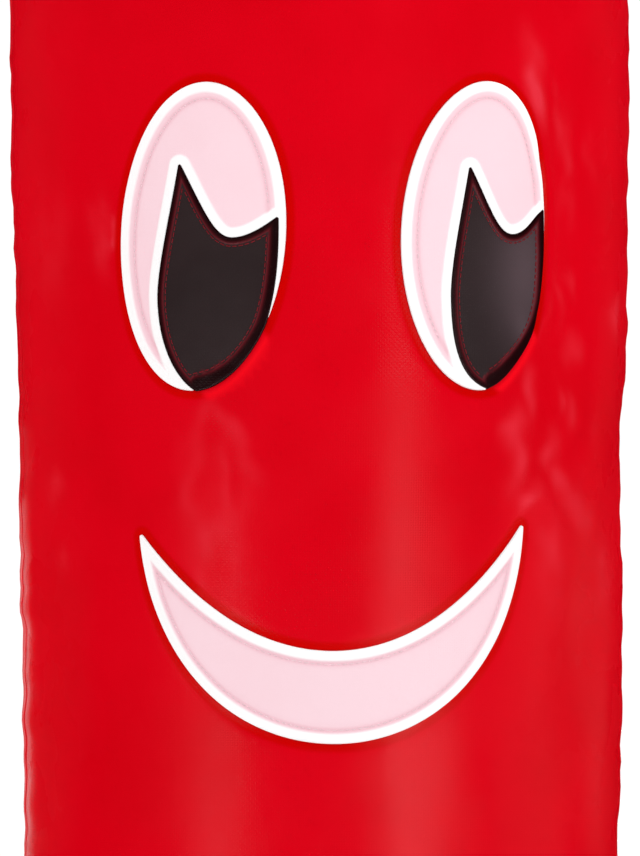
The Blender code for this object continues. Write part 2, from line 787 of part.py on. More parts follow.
def main():
    """Builds the air dancer."""
    clear_scene()
    dancer = new_collection("air_dancer")
    cutters = new_collection("cutters")
    red = new_material("red_nylon", RED_NYLON)
    white = new_material("white_nylon", WHITE_NYLON)
    black = new_material("black_nylon", BLACK_NYLON)

    holes = [shoulder_cutter(side, cutters) for side in ("left", "right")]
    inside = body_space(cutters)
    half_girth = math.pi * TUBE_RADIUS
    tube_panel("front_panel", 0.0, holes, dancer, red)
    tube_panel("back_panel", half_girth, holes, dancer, red)
    base_cuff(dancer, red)
    for side in ("left", "right"):
        arm(side, dancer, red, inside)
        hand_fringe(side, dancer, red)
        add_eye(side, dancer, white, black)
    hair_fringe(dancer, red)
    add_mouth(dancer, white)
    for cutter in (*holes, inside):
        hide_cutter(cutter)


main()
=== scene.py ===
"""Looks of the inflatable air dancer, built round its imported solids.

Metres, +Z up, on the frame's own axes: the middle of the foot is the origin and the face looks along
-Y. Every piece of cloth is cut flat and then blown up onto its shape. A flat place on the tube is
(arc, height, out): `arc` runs from the middle of the front towards +X and `out` is the distance from
the skin. On a sleeve it is (arc, along, out), with `arc` from the sleeve's upper side.
"""

import logging
import math
import random
from dataclasses import dataclass, field, replace
from enum import Enum
from typing import Any, Callable, NamedTuple, Sequence

import bmesh
import bpy
import numpy as np
from mathutils import Matrix, Vector
from mathutils.geometry import delaunay_2d_cdt

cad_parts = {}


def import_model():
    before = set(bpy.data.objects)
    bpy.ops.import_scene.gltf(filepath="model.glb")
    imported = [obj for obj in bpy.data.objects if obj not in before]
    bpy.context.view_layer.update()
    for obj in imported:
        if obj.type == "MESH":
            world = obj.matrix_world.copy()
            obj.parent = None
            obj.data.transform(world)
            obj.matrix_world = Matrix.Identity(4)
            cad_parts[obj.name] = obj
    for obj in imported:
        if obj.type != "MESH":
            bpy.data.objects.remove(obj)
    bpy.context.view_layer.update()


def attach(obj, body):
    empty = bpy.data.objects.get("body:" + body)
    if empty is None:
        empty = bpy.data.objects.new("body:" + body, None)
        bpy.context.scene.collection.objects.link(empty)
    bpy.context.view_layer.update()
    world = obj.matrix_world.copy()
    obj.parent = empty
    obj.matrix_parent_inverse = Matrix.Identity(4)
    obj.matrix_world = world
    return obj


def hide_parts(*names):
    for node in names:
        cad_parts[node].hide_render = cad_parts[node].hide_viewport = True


log = logging.getLogger("air_dancer")
Object = bpy.types.Object
Material = bpy.types.Material
Socket = bpy.types.NodeSocket
Tree = bpy.types.NodeTree
Points = np.ndarray
Placer = Callable[[Points], Points]

# --- Driving sizes, the same as the solids' ---

TUBE_RADIUS = 0.1525
QUARTER = math.pi / 2 * TUBE_RADIUS  # arc from the middle of the front to a side seam
GIRTH = 4 * QUARTER
RIM_HEIGHT = 2.78
SHOULDER_HEIGHT = 2.0
FACE_TOP = 2.68
CUFF_HEIGHT = 0.06
HAIR_BAND = 0.030
SEWN_GAP = 0.0004


class Section(NamedTuple):
    """The filled tube at one height."""

    height: float
    radius: float
    sway: float


TUBE_SECTIONS = (
    Section(0.00, TUBE_RADIUS, 0.000),
    Section(0.09, TUBE_RADIUS, 0.000),
    Section(0.30, 0.1570, 0.003),
    Section(0.75, 0.1548, 0.010),
    Section(1.20, 0.1562, -0.004),
    Section(1.62, 0.1548, -0.007),
    Section(1.88, TUBE_RADIUS, 0.000),
    Section(2.16, TUBE_RADIUS, 0.000),
    Section(2.25, 0.1518, 0.0011),
    Section(2.36, 0.1527, 0.0013),
    Section(2.44, 0.1544, 0.0015),
    Section(2.50, 0.1557, 0.0018),
    Section(2.56, 0.1563, 0.0012),
    Section(2.68, 0.1574, 0.0003),
    Section(2.74, 0.1562, 0.000),
    Section(RIM_HEIGHT, 0.1550, 0.000),
)


class Crease(NamedTuple):
    """A soft trough: where its middle is, the slant of its run up from the arc, and its size."""

    angle: float
    height: float
    slant: float
    length: float
    width: float
    depth: float


CREASES = (
    Crease(47, 2.560, 90, 0.100, 0.029, 0.0060),  # tuck beside the right eye
    Crease(66, 2.400, 62, 0.110, 0.030, 0.0040),
    Crease(-70, 2.330, 75, 0.120, 0.034, 0.0035),
    Crease(148, 2.480, 12, 0.120, 0.050, 0.0070),
    Crease(-160, 2.300, -20, 0.150, 0.050, 0.0060),
    Crease(40, 1.800, 52, 0.150, 0.042, 0.0080),  # drag lines below the arms
    Crease(-46, 1.770, -47, 0.170, 0.045, 0.0090),
    Crease(140, 1.790, -50, 0.150, 0.042, 0.0080),
    Crease(-138, 1.820, 55, 0.140, 0.042, 0.0070),
    Crease(-14, 1.500, 6, 0.190, 0.055, 0.0110),  # kinks where the column gives as it sways
    Crease(96, 1.360, -10, 0.170, 0.055, 0.0100),
    Crease(-118, 1.260, 12, 0.180, 0.060, 0.0100),
    Crease(30, 0.950, -8, 0.180, 0.055, 0.0100),
    Crease(-152, 0.800, 9, 0.200, 0.060, 0.0110),
    Crease(-60, 0.620, 16, 0.160, 0.055, 0.0090),
    Crease(110, 0.520, -14, 0.170, 0.055, 0.0090),
    Crease(10, 0.290, 80, 0.120, 0.040, 0.0060),  # gathers above the cuff
    Crease(-85, 0.250, 84, 0.110, 0.040, 0.0060),
    Crease(165, 0.270, 82, 0.120, 0.040, 0.0060),
)
# Over these spans the creases come in, up from the foot, up to the rim and away from the shoulders.
PLAIN_FOOT = (0.08, 0.20)
PLAIN_RIM = (2.66, 2.75)
PLAIN_SHOULDER = (0.11, 0.20)
SEAM_DRAW = 0.0015  # how far a side seam draws the skin in, over SEAM_REACH to each side
SEAM_REACH = 0.016

ARM_SLANT = math.radians(30)
ARM_RADIUS = 0.0760
ARM_GIRTH = 2 * math.pi * ARM_RADIUS
ARM_STRAIGHT = 0.23
ARM_END = 0.88


class Side(Enum):
    """The side of the dancer, as seen from the front."""

    LEFT = "left"
    RIGHT = "right"

    @property
    def sign(self) -> int:
        """-1 on the -X side and 1 on the other."""
        return -1 if self is Side.LEFT else 1


WRIST_SLANTS = {Side.LEFT: math.radians(62), Side.RIGHT: math.radians(56)}


class ArmSection(NamedTuple):
    """The filled sleeve at one distance from the tube's axis."""

    along: float
    radius: float


ARM_SECTIONS = (
    ArmSection(0.09, ARM_RADIUS),
    ArmSection(ARM_STRAIGHT, ARM_RADIUS),
    ArmSection(0.38, 0.0725),
    ArmSection(0.62, 0.0635),
    ArmSection(0.80, 0.0560),
    ArmSection(0.84, 0.0545),
    ArmSection(ARM_END, 0.0545),
)


class Buckle(NamedTuple):
    """A dent inside the arm's bend. The turn and the spread are in degrees."""

    along: float
    turn: float
    length: float
    spread: float
    depth: float


ARM_BUCKLES = {
    Side.LEFT: (Buckle(0.50, 8, 0.040, 70, 0.0130), Buckle(0.66, -150, 0.035, 60, 0.0060)),
    Side.RIGHT: (Buckle(0.54, -12, 0.042, 70, 0.0120), Buckle(0.70, 165, 0.035, 60, 0.0060)),
}


# --- Curves, waves and outlines ---


def ease(low: float, high: float, at: Points) -> Points:
    """A smooth step, 0 up to `low` and 1 from `high`."""
    share = np.clip((np.asarray(at) - low) / (high - low), 0.0, 1.0)
    return share * share * (3.0 - 2.0 * share)


def hump(at: Points, width: float) -> Points:
    """A bell, 1 in the middle and a third at `width`."""
    return np.exp(-((at / width) ** 2))


def ridge(side: Points, up: Points, slant: float, length: float, width: float) -> Points:
    """A bell-shaped ridge about the origin, 1 in its middle, at a slant in degrees from level."""
    cosine, sine = math.cos(math.radians(slant)), math.sin(math.radians(slant))
    return hump(side * cosine + up * sine, length) * hump(up * cosine - side * sine, width)


def around(arc: Points) -> Points:
    """The same place on the tube, with its arc between the two sides of the back."""
    return (arc + GIRTH / 2) % GIRTH - GIRTH / 2


def plain_tube(arc: Points, height: Points) -> Points:
    """Flat places bent onto an even tube."""
    turn = arc / TUBE_RADIUS
    return np.column_stack([TUBE_RADIUS * np.sin(turn), -TUBE_RADIUS * np.cos(turn), height])


def along_rows(rows: Sequence[tuple[float, ...]], at: Points) -> Points:
    """Smooth values between the rows of a table.

    Args:
        rows: The table, whose first column is what `at` runs along.
        at: Where the values are wanted.

    Returns:
        One row of values for each place, without the first column.
    """
    table = np.array(rows)
    run = table[:, 0]
    at = np.clip(at, run[0], run[-1])
    upper = np.clip(np.searchsorted(run, at), 1, len(run) - 1)
    lower = upper - 1
    before = np.maximum(np.arange(len(run)) - 1, 0)
    after = np.minimum(np.arange(len(run)) + 1, len(run) - 1)
    slopes = (table[after] - table[before]) / (run[after] - run[before])[:, None]
    span = (run[upper] - run[lower])[:, None]
    share = (at - run[lower])[:, None] / span
    start, end = table[lower], table[upper]
    leave, arrive = slopes[lower] * span, slopes[upper] * span
    cubic = (2 * start - 2 * end + leave + arrive) * share**3
    square = (-3 * start + 3 * end - 2 * leave - arrive) * share**2
    return (cubic + square + leave * share + start)[:, 1:]


CURVE_POINTS = 28


def bezier(
    start: Vector, leave: Vector, arrive: Vector, end: Vector, points: int = CURVE_POINTS
) -> list[Vector]:
    """Points along a cubic curve, the last one left out.

    Args:
        start: Its start.
        leave: The handle by its start.
        arrive: The handle by its end.
        end: Its end.
        points: How many points.

    Returns:
        The points, evenly along its parameter.
    """
    made = []
    for index in range(points):
        t = index / points
        made.append(
            start * (1 - t) ** 3
            + leave * 3 * t * (1 - t) ** 2
            + arrive * 3 * t**2 * (1 - t)
            + end * t**3
        )
    return made


def turned(point: Vector, angle: float) -> Vector:
    """A flat point turned about the origin."""
    return Matrix.Rotation(angle, 2) @ Vector(point)


UNBROKEN = 9.0  # a cell longer than any piece of cloth, so that the waves run on along it


@dataclass(frozen=True)
class Ripples:
    """Smooth uneven waves, from random heights on a grid that closes round a tube.

    The random heights are joined by cubic splines, which flatten them, so GAIN makes up for it.
    """

    girth: float
    cell_round: float  # the grid's cell, round the tube and up it
    cell_up: float
    rise: float
    seed: int

    ROWS = 512
    FEWEST_COLUMNS = 5
    GAIN = 1.8

    def at(self, place_round: Points, place_up: Points) -> Points:
        """The height of the waves.

        Args:
            place_round: Distance round the tube.
            place_up: Distance up it.

        Returns:
            The rise at each place, up to about `rise` either way.
        """
        columns = max(self.FEWEST_COLUMNS, round(self.girth / self.cell_round))
        grid = np.random.default_rng(self.seed).uniform(-1, 1, (self.ROWS, columns))
        across, weights_across = self._spline(place_round / self.girth * columns)
        up, weights_up = self._spline(place_up / self.cell_up)
        total = np.zeros(np.broadcast(place_round, place_up).shape)
        for i in range(4):
            for j in range(4):
                known = grid[(up + j) % self.ROWS, (across + i) % columns]
                total += weights_across[i] * weights_up[j] * known
        return self.GAIN * self.rise * total

    @staticmethod
    def _spline(at: Points) -> tuple[Points, tuple[Points, ...]]:
        """The first of four grid lines round each place, and the four lines' weights.

        Args:
            at: Places along the grid, in cells.

        Returns:
            The first lines' numbers, and the weights.
        """
        first = np.floor(at).astype(int)
        f = at - first
        weights = (
            (1 - f) ** 3 / 6,
            (3 * f**3 - 6 * f**2 + 4) / 6,
            (-3 * f**3 + 3 * f**2 + 3 * f + 1) / 6,
            f**3 / 6,
        )
        return first, weights


AT_ONCE = 2000  # points measured together, to spare memory


def distance_in(points: Points, outline: Points) -> Points:
    """How far flat points lie in from a closed outline, negative outside it.

    Args:
        points: The points.
        outline: The outline, in order.

    Returns:
        One distance for each point.
    """
    starts, ends = outline, np.roll(outline, -1, axis=0)
    run = ends - starts
    square = (run**2).sum(1)
    made = np.empty(len(points))
    for first in range(0, len(points), AT_ONCE):
        part = points[first : first + AT_ONCE, None, :]
        share = np.clip(((part - starts) * run).sum(2) / square, 0.0, 1.0)
        near = starts + share[:, :, None] * run
        distance = np.sqrt(((part - near) ** 2).sum(2).min(1))
        above = (starts[:, 1] > part[:, :, 1]) != (ends[:, 1] > part[:, :, 1])
        rise = np.where(run[:, 1] == 0, 1.0, run[:, 1])
        crossing = starts[:, 0] + run[:, 0] * (part[:, :, 1] - starts[:, 1]) / rise
        inside = (above & (part[:, :, 0] < crossing)).sum(1) % 2 == 1
        made[first : first + AT_ONCE] = np.where(inside, distance, -distance)
    return made


CORNER = math.radians(30)  # an outline that turns further than this at a point has a corner there
CORNER_POINTS = 10
LONGEST_CUT = 0.0035  # that rounding takes off a thin point


def even_outline(outline: Sequence[Vector], step: float, radius: float) -> Points:
    """Even points round a closed outline, with its corners rounded.

    Args:
        outline: The outline's own points.
        step: The distance between the even points.
        radius: The radius of its rounded corners.

    Returns:
        The even points, in the outline's order.
    """
    points = np.array([tuple(point) for point in outline])
    before = points - np.roll(points, 1, axis=0)
    after = np.roll(points, -1, axis=0) - points
    cross = before[:, 0] * after[:, 1] - before[:, 1] * after[:, 0]
    turns = np.arctan2(cross, (before * after).sum(1))
    corners = list(np.flatnonzero(np.abs(turns) > CORNER)) or [0]
    half_turns = np.where(np.abs(turns) > CORNER, np.abs(turns) / 2, 0.0)[corners]
    cuts = np.minimum(radius * np.tan(half_turns), LONGEST_CUT)
    stretches = []
    ends = corners[1:] + [corners[0] + len(points)]
    for number, (this, following) in enumerate(zip(corners, ends)):
        stretch = points[np.arange(this, following + 1) % len(points)]
        run = np.concatenate([[0.0], np.cumsum(np.linalg.norm(np.diff(stretch, axis=0), axis=1))])
        last = run[-1] - cuts[(number + 1) % len(corners)]
        at = np.linspace(cuts[number], last, max(2, round((last - cuts[number]) / step)) + 1)
        stretches.append(np.column_stack([np.interp(at, run, stretch[:, axis]) for axis in (0, 1)]))
    made = []
    for number, stretch in enumerate(stretches):
        following = (number + 1) % len(corners)
        made.append(stretch[:-1])
        if cuts[following] > 0:
            cut, half_turn = cuts[following], half_turns[following]
            handle = float(4 / 3 * math.tan(half_turn / 2) * cut / math.tan(half_turn))
            made.append(_rounded_corner(stretch, stretches[following], handle))
    return np.concatenate(made)


def _rounded_corner(before: Points, after: Points, handle: float) -> Points:
    """The points of an arc from the end of one stretch to the start of the next.

    Args:
        before: The stretch before the corner.
        after: The one after it.
        handle: The length of the curve's handles.

    Returns:
        Its points.
    """
    leave = Vector(before[-1]) + Vector(before[-1] - before[-2]).normalized() * handle
    arrive = Vector(after[0]) - Vector(after[1] - after[0]).normalized() * handle
    arc = bezier(Vector(before[-1]), leave, arrive, Vector(after[0]), CORNER_POINTS)
    return np.array([tuple(point) for point in arc])


NOT_CROWDED = 0.97  # share of the distance that a moved point keeps from the whole outline


def ring_in(outline: Points, distance: float) -> tuple[Points, Points]:
    """A counter-clockwise outline moved in by a distance, or out where it is negative.

    Args:
        outline: The outline.
        distance: How far it moves.

    Returns:
        The moved points that keep that distance from the whole outline, and their numbers in it.
    """
    along = np.roll(outline, -1, axis=0) - np.roll(outline, 1, axis=0)
    along /= np.linalg.norm(along, axis=1)[:, None]
    moved = outline + distance * np.column_stack([-along[:, 1], along[:, 0]])
    kept = np.flatnonzero(np.abs(distance_in(moved, outline)) > NOT_CROWDED * abs(distance))
    return moved[kept], kept


def triangulate(
    points: Points, borders: Sequence[Points], inside: Callable[[Points], Points]
) -> tuple[Points, Points]:
    """Joins flat points to triangles.

    Args:
        points: The points.
        borders: Runs of point numbers, each joined in order by edges that the triangles keep.
        inside: Says which of the triangles to keep, by their centres.

    Returns:
        The points in the triangles' own order, and the triangles.
    """
    edges = [(int(a), int(b)) for border in borders for a, b in zip(border[:-1], border[1:])]
    made = delaunay_2d_cdt([Vector(point) for point in points], edges, [], 0, 1e-7, False)
    flat, faces = (np.array([tuple(row) for row in made[part]]) for part in (0, 2))
    faces = faces[inside(flat[faces].mean(1))]
    used, faces = np.unique(faces, return_inverse=True)
    return flat[used], faces.reshape(-1, 3)


def even_grid(low: Sequence[float], high: Sequence[float], step: float) -> Points:
    """Even points from one corner of a box to the other."""
    across, up = np.meshgrid(*(np.arange(start, end, step) for start, end in zip(low, high)))
    return np.column_stack([across.ravel(), up.ravel()])


BY_A_SEAM = (0.0, 0.0007, 0.0014, 0.0022, 0.0032, 0.0046)


def seam_spaced(half: float, step: float) -> Points:
    """Places from one seam to the next, closer together at the seams.

    Args:
        half: Half of the way from seam to seam.
        step: The distance between the even places.

    Returns:
        The places, from -half to half.
    """
    close = np.array(BY_A_SEAM)
    count = round(2 * (half - close[-1]) / step)
    middle = np.linspace(-half + close[-1], half - close[-1], count + 1)[1:-1]
    return np.concatenate([-half + close, middle, half - close[::-1]])


# --- Finishes ---


def linear(code: str) -> tuple[float, float, float, float]:
    """A hex sRGB colour as linear light.

    Args:
        code: The colour, as #RRGGBB.

    Returns:
        Red, green, blue and alpha.
    """
    levels = [int(code[at : at + 2], 16) / 255 for at in (1, 3, 5)]
    light = [v / 12.92 if v <= 0.04045 else ((v + 0.055) / 1.055) ** 2.4 for v in levels]
    return (*light, 1.0)


def add_node(
    tree: Tree, kind: str, inputs: dict[str | int, Any] | None = None, **settings: Any
) -> bpy.types.Node:
    """Adds a shader node.

    Args:
        tree: The material's or the world's nodes.
        kind: The node's type.
        inputs: A value, or a socket to link, for each named or numbered input.
        **settings: The node's own settings.

    Returns:
        The node.
    """
    node = tree.nodes.new(kind)
    for name, value in settings.items():
        setattr(node, name, value)
    for name, value in (inputs or {}).items():
        if isinstance(value, Socket):
            tree.links.new(value, node.inputs[name])
        else:
            node.inputs[name].default_value = value
    return node


class Finish:
    """A surface that a piece can have."""

    name: str

    def material(self) -> Material:
        """The finish as a new material.

        Returns:
            The material.
        """
        made = bpy.data.materials.new(self.name)
        made.use_nodes = True
        tree = made.node_tree
        tree.nodes.clear()
        shader = add_node(tree, "ShaderNodeBsdfPrincipled", self.inputs(tree))
        add_node(tree, "ShaderNodeOutputMaterial", {"Surface": shader.outputs[0]})
        return made

    def inputs(self, tree: Tree) -> dict[str, Any]:
        """The values and the sockets that the surface's shader takes."""
        raise NotImplementedError


class Tone(NamedTuple):
    """A colour that the cloth takes where one of its mesh's values is 1."""

    value: str
    colour: str


@dataclass(frozen=True)
class Taffeta(Finish):
    """Nylon taffeta: an even plain weave, calendered and coated with a thin film.

    The film fills the weave, so the cloth is smooth, bright and softly shiny, and it creases finely.
    """

    name: str
    colour: str
    shade: str  # where the film lies thicker
    roughness: float
    specular: float
    tones: tuple[Tone, ...] = ()
    # Taffeta has about 40 threads a centimetre. They are drawn 5 times as wide, so that they show.
    thread: float = 0.00125
    thread_rise: float = 0.00003
    blotch: float = 0.060  # metres across a thicker patch of film
    creasing: float = 0.006  # metres between fine creases
    creasing_rise: float = 0.00008
    spread: float = 0.06  # of the roughness, either way

    def inputs(self, tree: Tree) -> dict[str, Any]:
        """The cloth's colour, gloss and relief.

        Args:
            tree: The material's nodes.

        Returns:
            The shader's inputs.
        """
        cloth = add_node(tree, "ShaderNodeAttribute", attribute_name="cloth").outputs["Vector"]
        place = add_node(tree, "ShaderNodeNewGeometry").outputs["Position"]
        return {
            "Base Color": self._colour(tree, place),
            "Roughness": self._roughness(tree, place),
            "Specular IOR Level": self.specular,
            "Normal": self._relief(tree, cloth, place),
        }

    def _colour(self, tree: Tree, place: Socket) -> Socket:
        """The film's blotches, and the tones: hems, rubbing along seams, and painted shade,
        highlights and sheen.

        Args:
            tree: The material's nodes.
            place: Where a point is.

        Returns:
            The colour.
        """
        film = add_node(
            tree, "ShaderNodeTexNoise", {"Vector": place, "Scale": 1 / self.blotch, "Detail": 3.0}
        )
        share = add_node(tree, "ShaderNodeMapRange", {0: film.outputs[0], 1: 0.42, 2: 0.68})
        levels = {0: share.outputs[0], 6: linear(self.colour), 7: linear(self.shade)}
        mixed = add_node(tree, "ShaderNodeMix", levels, data_type="RGBA").outputs[2]
        for tone in self.tones:
            amount = add_node(tree, "ShaderNodeAttribute", attribute_name=tone.value).outputs["Fac"]
            levels = {0: amount, 6: mixed, 7: linear(tone.colour)}
            mixed = add_node(tree, "ShaderNodeMix", levels, data_type="RGBA").outputs[2]
        return mixed

    def _roughness(self, tree: Tree, place: Socket) -> Socket:
        """A little more or less gloss from place to place.

        Args:
            tree: The material's nodes.
            place: Where a point is.

        Returns:
            The roughness.
        """
        sheen_and_wear = add_node(
            tree, "ShaderNodeTexNoise", {"Vector": place, "Scale": 1.6 / self.blotch, "Detail": 4.0}
        )
        low, high = self.roughness - self.spread, self.roughness + self.spread
        levels = {0: sheen_and_wear.outputs[0], 1: 0.35, 2: 0.65, 3: low, 4: high}
        return add_node(tree, "ShaderNodeMapRange", levels).outputs[0]

    def _relief(self, tree: Tree, cloth: Socket, place: Socket) -> Socket:
        """Threads that pass over and under each other, on fine creases.

        Args:
            tree: The material's nodes.
            cloth: Where a point is on the flat cloth.
            place: Where it is.

        Returns:
            The normal.
        """
        # A wave texture has a crest every pi / 10 over its scale.
        bands = {"Vector": cloth, "Scale": math.pi / (10 * self.thread)}
        warp = add_node(tree, "ShaderNodeTexWave", bands, bands_direction="X")
        weft = add_node(tree, "ShaderNodeTexWave", bands, bands_direction="Y")
        over = add_node(tree, "ShaderNodeTexChecker", {"Vector": cloth, "Scale": 1 / self.thread})
        woven = {0: over.outputs["Fac"], 2: warp.outputs["Fac"], 3: weft.outputs["Fac"]}
        weave = add_node(tree, "ShaderNodeMix", woven)
        creases = add_node(
            tree, "ShaderNodeTexNoise", {"Vector": place, "Scale": 1 / self.creasing, "Detail": 3.0}
        )
        soft = add_node(
            tree, "ShaderNodeBump", {"Height": creases.outputs[0], "Distance": self.creasing_rise}
        )
        threads = {"Height": weave.outputs[0], "Distance": self.thread_rise}
        return add_node(tree, "ShaderNodeBump", {**threads, "Normal": soft.outputs[0]}).outputs[0]


@dataclass(frozen=True)
class SewingThread(Finish):
    """Bonded polyester thread, twisted and waxed, so each stitch has a small bright crown."""

    name: str
    colour: str
    roughness: float = 0.45
    specular: float = 0.01
    twist: float = 0.0006  # metres between the turns of the twist
    twist_rise: float = 0.00004
    shade: float = 0.75  # share of the light that comes from between the turns

    def inputs(self, tree: Tree) -> dict[str, Any]:
        """The thread's colour and the relief of its twist.

        Args:
            tree: The material's nodes.

        Returns:
            The shader's inputs.
        """
        place = add_node(tree, "ShaderNodeNewGeometry").outputs["Position"]
        bands = {"Vector": place, "Scale": math.pi / (10 * self.twist)}
        turns = add_node(tree, "ShaderNodeTexWave", bands, bands_direction="DIAGONAL")
        shade = (*(self.shade * level for level in linear(self.colour)[:3]), 1.0)
        levels = {0: turns.outputs["Fac"], 6: shade, 7: linear(self.colour)}
        colour = add_node(tree, "ShaderNodeMix", levels, data_type="RGBA")
        relief = add_node(
            tree, "ShaderNodeBump", {"Height": turns.outputs["Fac"], "Distance": self.twist_rise}
        )
        return {
            "Base Color": colour.outputs[2],
            "Roughness": self.roughness,
            "Specular IOR Level": self.specular,
            "Normal": relief.outputs[0],
        }


@dataclass(frozen=True)
class PaintedFloor(Finish):
    """A pale matt painted studio floor, rolled on, with a faint unevenness."""

    name: str = "painted_floor"
    colour: str = "#F7F6F4"
    shade: str = "#F2F1EF"
    roughness: float = 0.75
    rolling: float = 1.25  # metres across an uneven patch

    def inputs(self, tree: Tree) -> dict[str, Any]:
        """The paint's colour.

        Args:
            tree: The material's nodes.

        Returns:
            The shader's inputs.
        """
        place = add_node(tree, "ShaderNodeNewGeometry").outputs["Position"]
        roller = add_node(
            tree, "ShaderNodeTexNoise", {"Vector": place, "Scale": 1 / self.rolling, "Detail": 2.0}
        )
        levels = {0: roller.outputs[0], 6: linear(self.colour), 7: linear(self.shade)}
        colour = add_node(tree, "ShaderNodeMix", levels, data_type="RGBA")
        return {
            "Base Color": colour.outputs[2],
            "Roughness": self.roughness,
            "Specular IOR Level": 0.0,
        }


RED = Taffeta(
    "red_coated_taffeta",
    "#D70015",
    "#D10012",
    roughness=0.29,
    specular=0.006,
    # Tones: painted sheen on the face's creases with rubbing at seams and hems, painted shade where
    # stitching draws the cloth down, and a painted highlight line beside the pupils.
    tones=(Tone("worn", "#E02E3D"), Tone("press", "#CA0000"), Tone("rim", "#F2081A")),
)
WHITE = Taffeta(
    "white_thin_taffeta",  # one thin layer lets the red show through, and a folded hem doesn't
    "#F8D7E0",
    "#F7D4DD",
    roughness=0.45,
    specular=0.006,
    # Its darker pink stitch tone is painted shade of the stitched groove.
    tones=(Tone("hem", "#FCFCFD"), Tone("stitch", "#F0C3CE")),
)
BLACK = Taffeta(
    "black_thin_taffeta",
    "#2E2324",
    "#2A2021",
    roughness=0.40,
    specular=0.014,
    # Its lighter tone is painted sheen on the right pupil, and its red tone is the stitched line.
    tones=(Tone("worn", "#57484D"), Tone("hem", "#190204"), Tone("stitch", "#771D27")),
)
PINK_THREAD = SewingThread("rose_polyester_thread", "#FCDFE6")
RED_THREAD = SewingThread("red_polyester_thread", "#B80A14")
DARK_RED_THREAD = SewingThread("dark_red_polyester_thread", "#801C25")


class Dyer:
    """Keeps one material for each finish."""

    def __init__(self) -> None:
        """Starts with none."""
        self.made: dict[str, Material] = {}

    def material(self, finish: Finish) -> Material:
        """The finish's material, made once.

        Args:
            finish: The finish.

        Returns:
            Its material.
        """
        if finish.name not in self.made:
            self.made[finish.name] = finish.material()
        return self.made[finish.name]


# --- Meshes ---


@dataclass
class Cloth:
    """A mesh in the making: points, faces and the values that its finish reads."""

    points: Points
    faces: list[Sequence[int]]
    flat: Points  # where each point lies on the flat cloth
    values: dict[str, Points] = field(default_factory=dict)

    @staticmethod
    def joined(parts: Sequence["Cloth"]) -> "Cloth":
        """Several meshes as one.

        Args:
            parts: The meshes.

        Returns:
            One mesh, with 0 where a part lacks a value.
        """
        faces, first = [], 0
        for part in parts:
            faces += [[corner + first for corner in face] for face in part.faces]
            first += len(part.points)
        names = {name for part in parts for name in part.values}
        values = {}
        for name in sorted(names):
            levels = [part.values.get(name, np.zeros(len(part.points))) for part in parts]
            values[name] = np.concatenate(levels)
        points = np.concatenate([part.points for part in parts])
        return Cloth(points, faces, np.concatenate([part.flat for part in parts]), values)

    def build(self, name: str, material: Material) -> Object:
        """Makes the object, shaded smooth, with its values as attributes.

        Args:
            name: The object's name.
            material: Its material.

        Returns:
            The object, in the scene.
        """
        mesh = bpy.data.meshes.new(name)
        mesh.from_pydata(self.points.tolist(), [], [list(map(int, face)) for face in self.faces])
        cloth = mesh.attributes.new("cloth", "FLOAT_VECTOR", "POINT")
        padded = np.zeros((len(self.points), 3))
        padded[:, :2] = self.flat[:, :2]
        cloth.data.foreach_set("vector", padded.ravel())
        for value, levels in self.values.items():
            made = mesh.attributes.new(value, "FLOAT", "POINT")
            made.data.foreach_set("value", np.asarray(levels, float).ravel())
        mesh.materials.append(material)
        mesh.shade_smooth()
        mesh.validate()
        built = bpy.data.objects.new(name, mesh)
        bpy.context.scene.collection.objects.link(built)
        return built


def pair_triangles(built: Object) -> None:
    """Joins the pairs of triangles that make good four-sided faces.

    Args:
        built: The object, whose mesh is changed.
    """
    shape = bmesh.new()
    shape.from_mesh(built.data)
    bmesh.ops.join_triangles(
        shape, faces=shape.faces, angle_face_threshold=0.5, angle_shape_threshold=0.6
    )
    shape.to_mesh(built.data)
    shape.free()


def grid_faces(rows: int, columns: int, closed: bool) -> list[tuple[int, int, int, int]]:
    """Four-sided faces on rows of points, joined round where they are closed.

    Args:
        rows: How many rows.
        columns: How many points in each.
        closed: Whether a row's end is joined to its start.

    Returns:
        The faces.
    """
    numbers = np.arange(rows * columns).reshape(rows, columns)
    if closed:
        numbers = np.column_stack([numbers, numbers[:, 0]])
    corners = (numbers[:-1, :-1], numbers[:-1, 1:], numbers[1:, 1:], numbers[1:, :-1])
    return [tuple(face) for face in np.stack(corners, axis=2).reshape(-1, 4).tolist()]


def thick_grid(middle: Points, thickness: float) -> tuple[Points, list[Sequence[int]]]:
    """A closed mesh with a thickness on an open grid of points.

    Args:
        middle: The grid, rows by columns by 3.
        thickness: The distance between its two faces.

    Returns:
        The points, first those of one face and then those of the other, and the faces.
    """
    rows, columns = middle.shape[:2]
    normal = np.cross(np.gradient(middle, axis=1), np.gradient(middle, axis=0))
    normal /= np.linalg.norm(normal, axis=2)[:, :, None]
    outer = (middle + normal * thickness / 2).reshape(-1, 3)
    inner = (middle - normal * thickness / 2).reshape(-1, 3)
    count = rows * columns
    faces: list[Sequence[int]] = list(grid_faces(rows, columns, False))
    faces += [tuple(count + corner for corner in face[::-1]) for face in faces[:]]
    grid = np.arange(count).reshape(rows, columns)
    sides = (grid[0], grid[1:, -1], grid[-1, -2::-1], grid[-2:0:-1, 0])
    border = np.concatenate(sides).tolist()
    for this, following in zip(border, border[1:] + border[:1]):
        faces.append((this, count + this, count + following, following))
    return np.concatenate([outer, inner]), faces


# --- The filled shapes ---


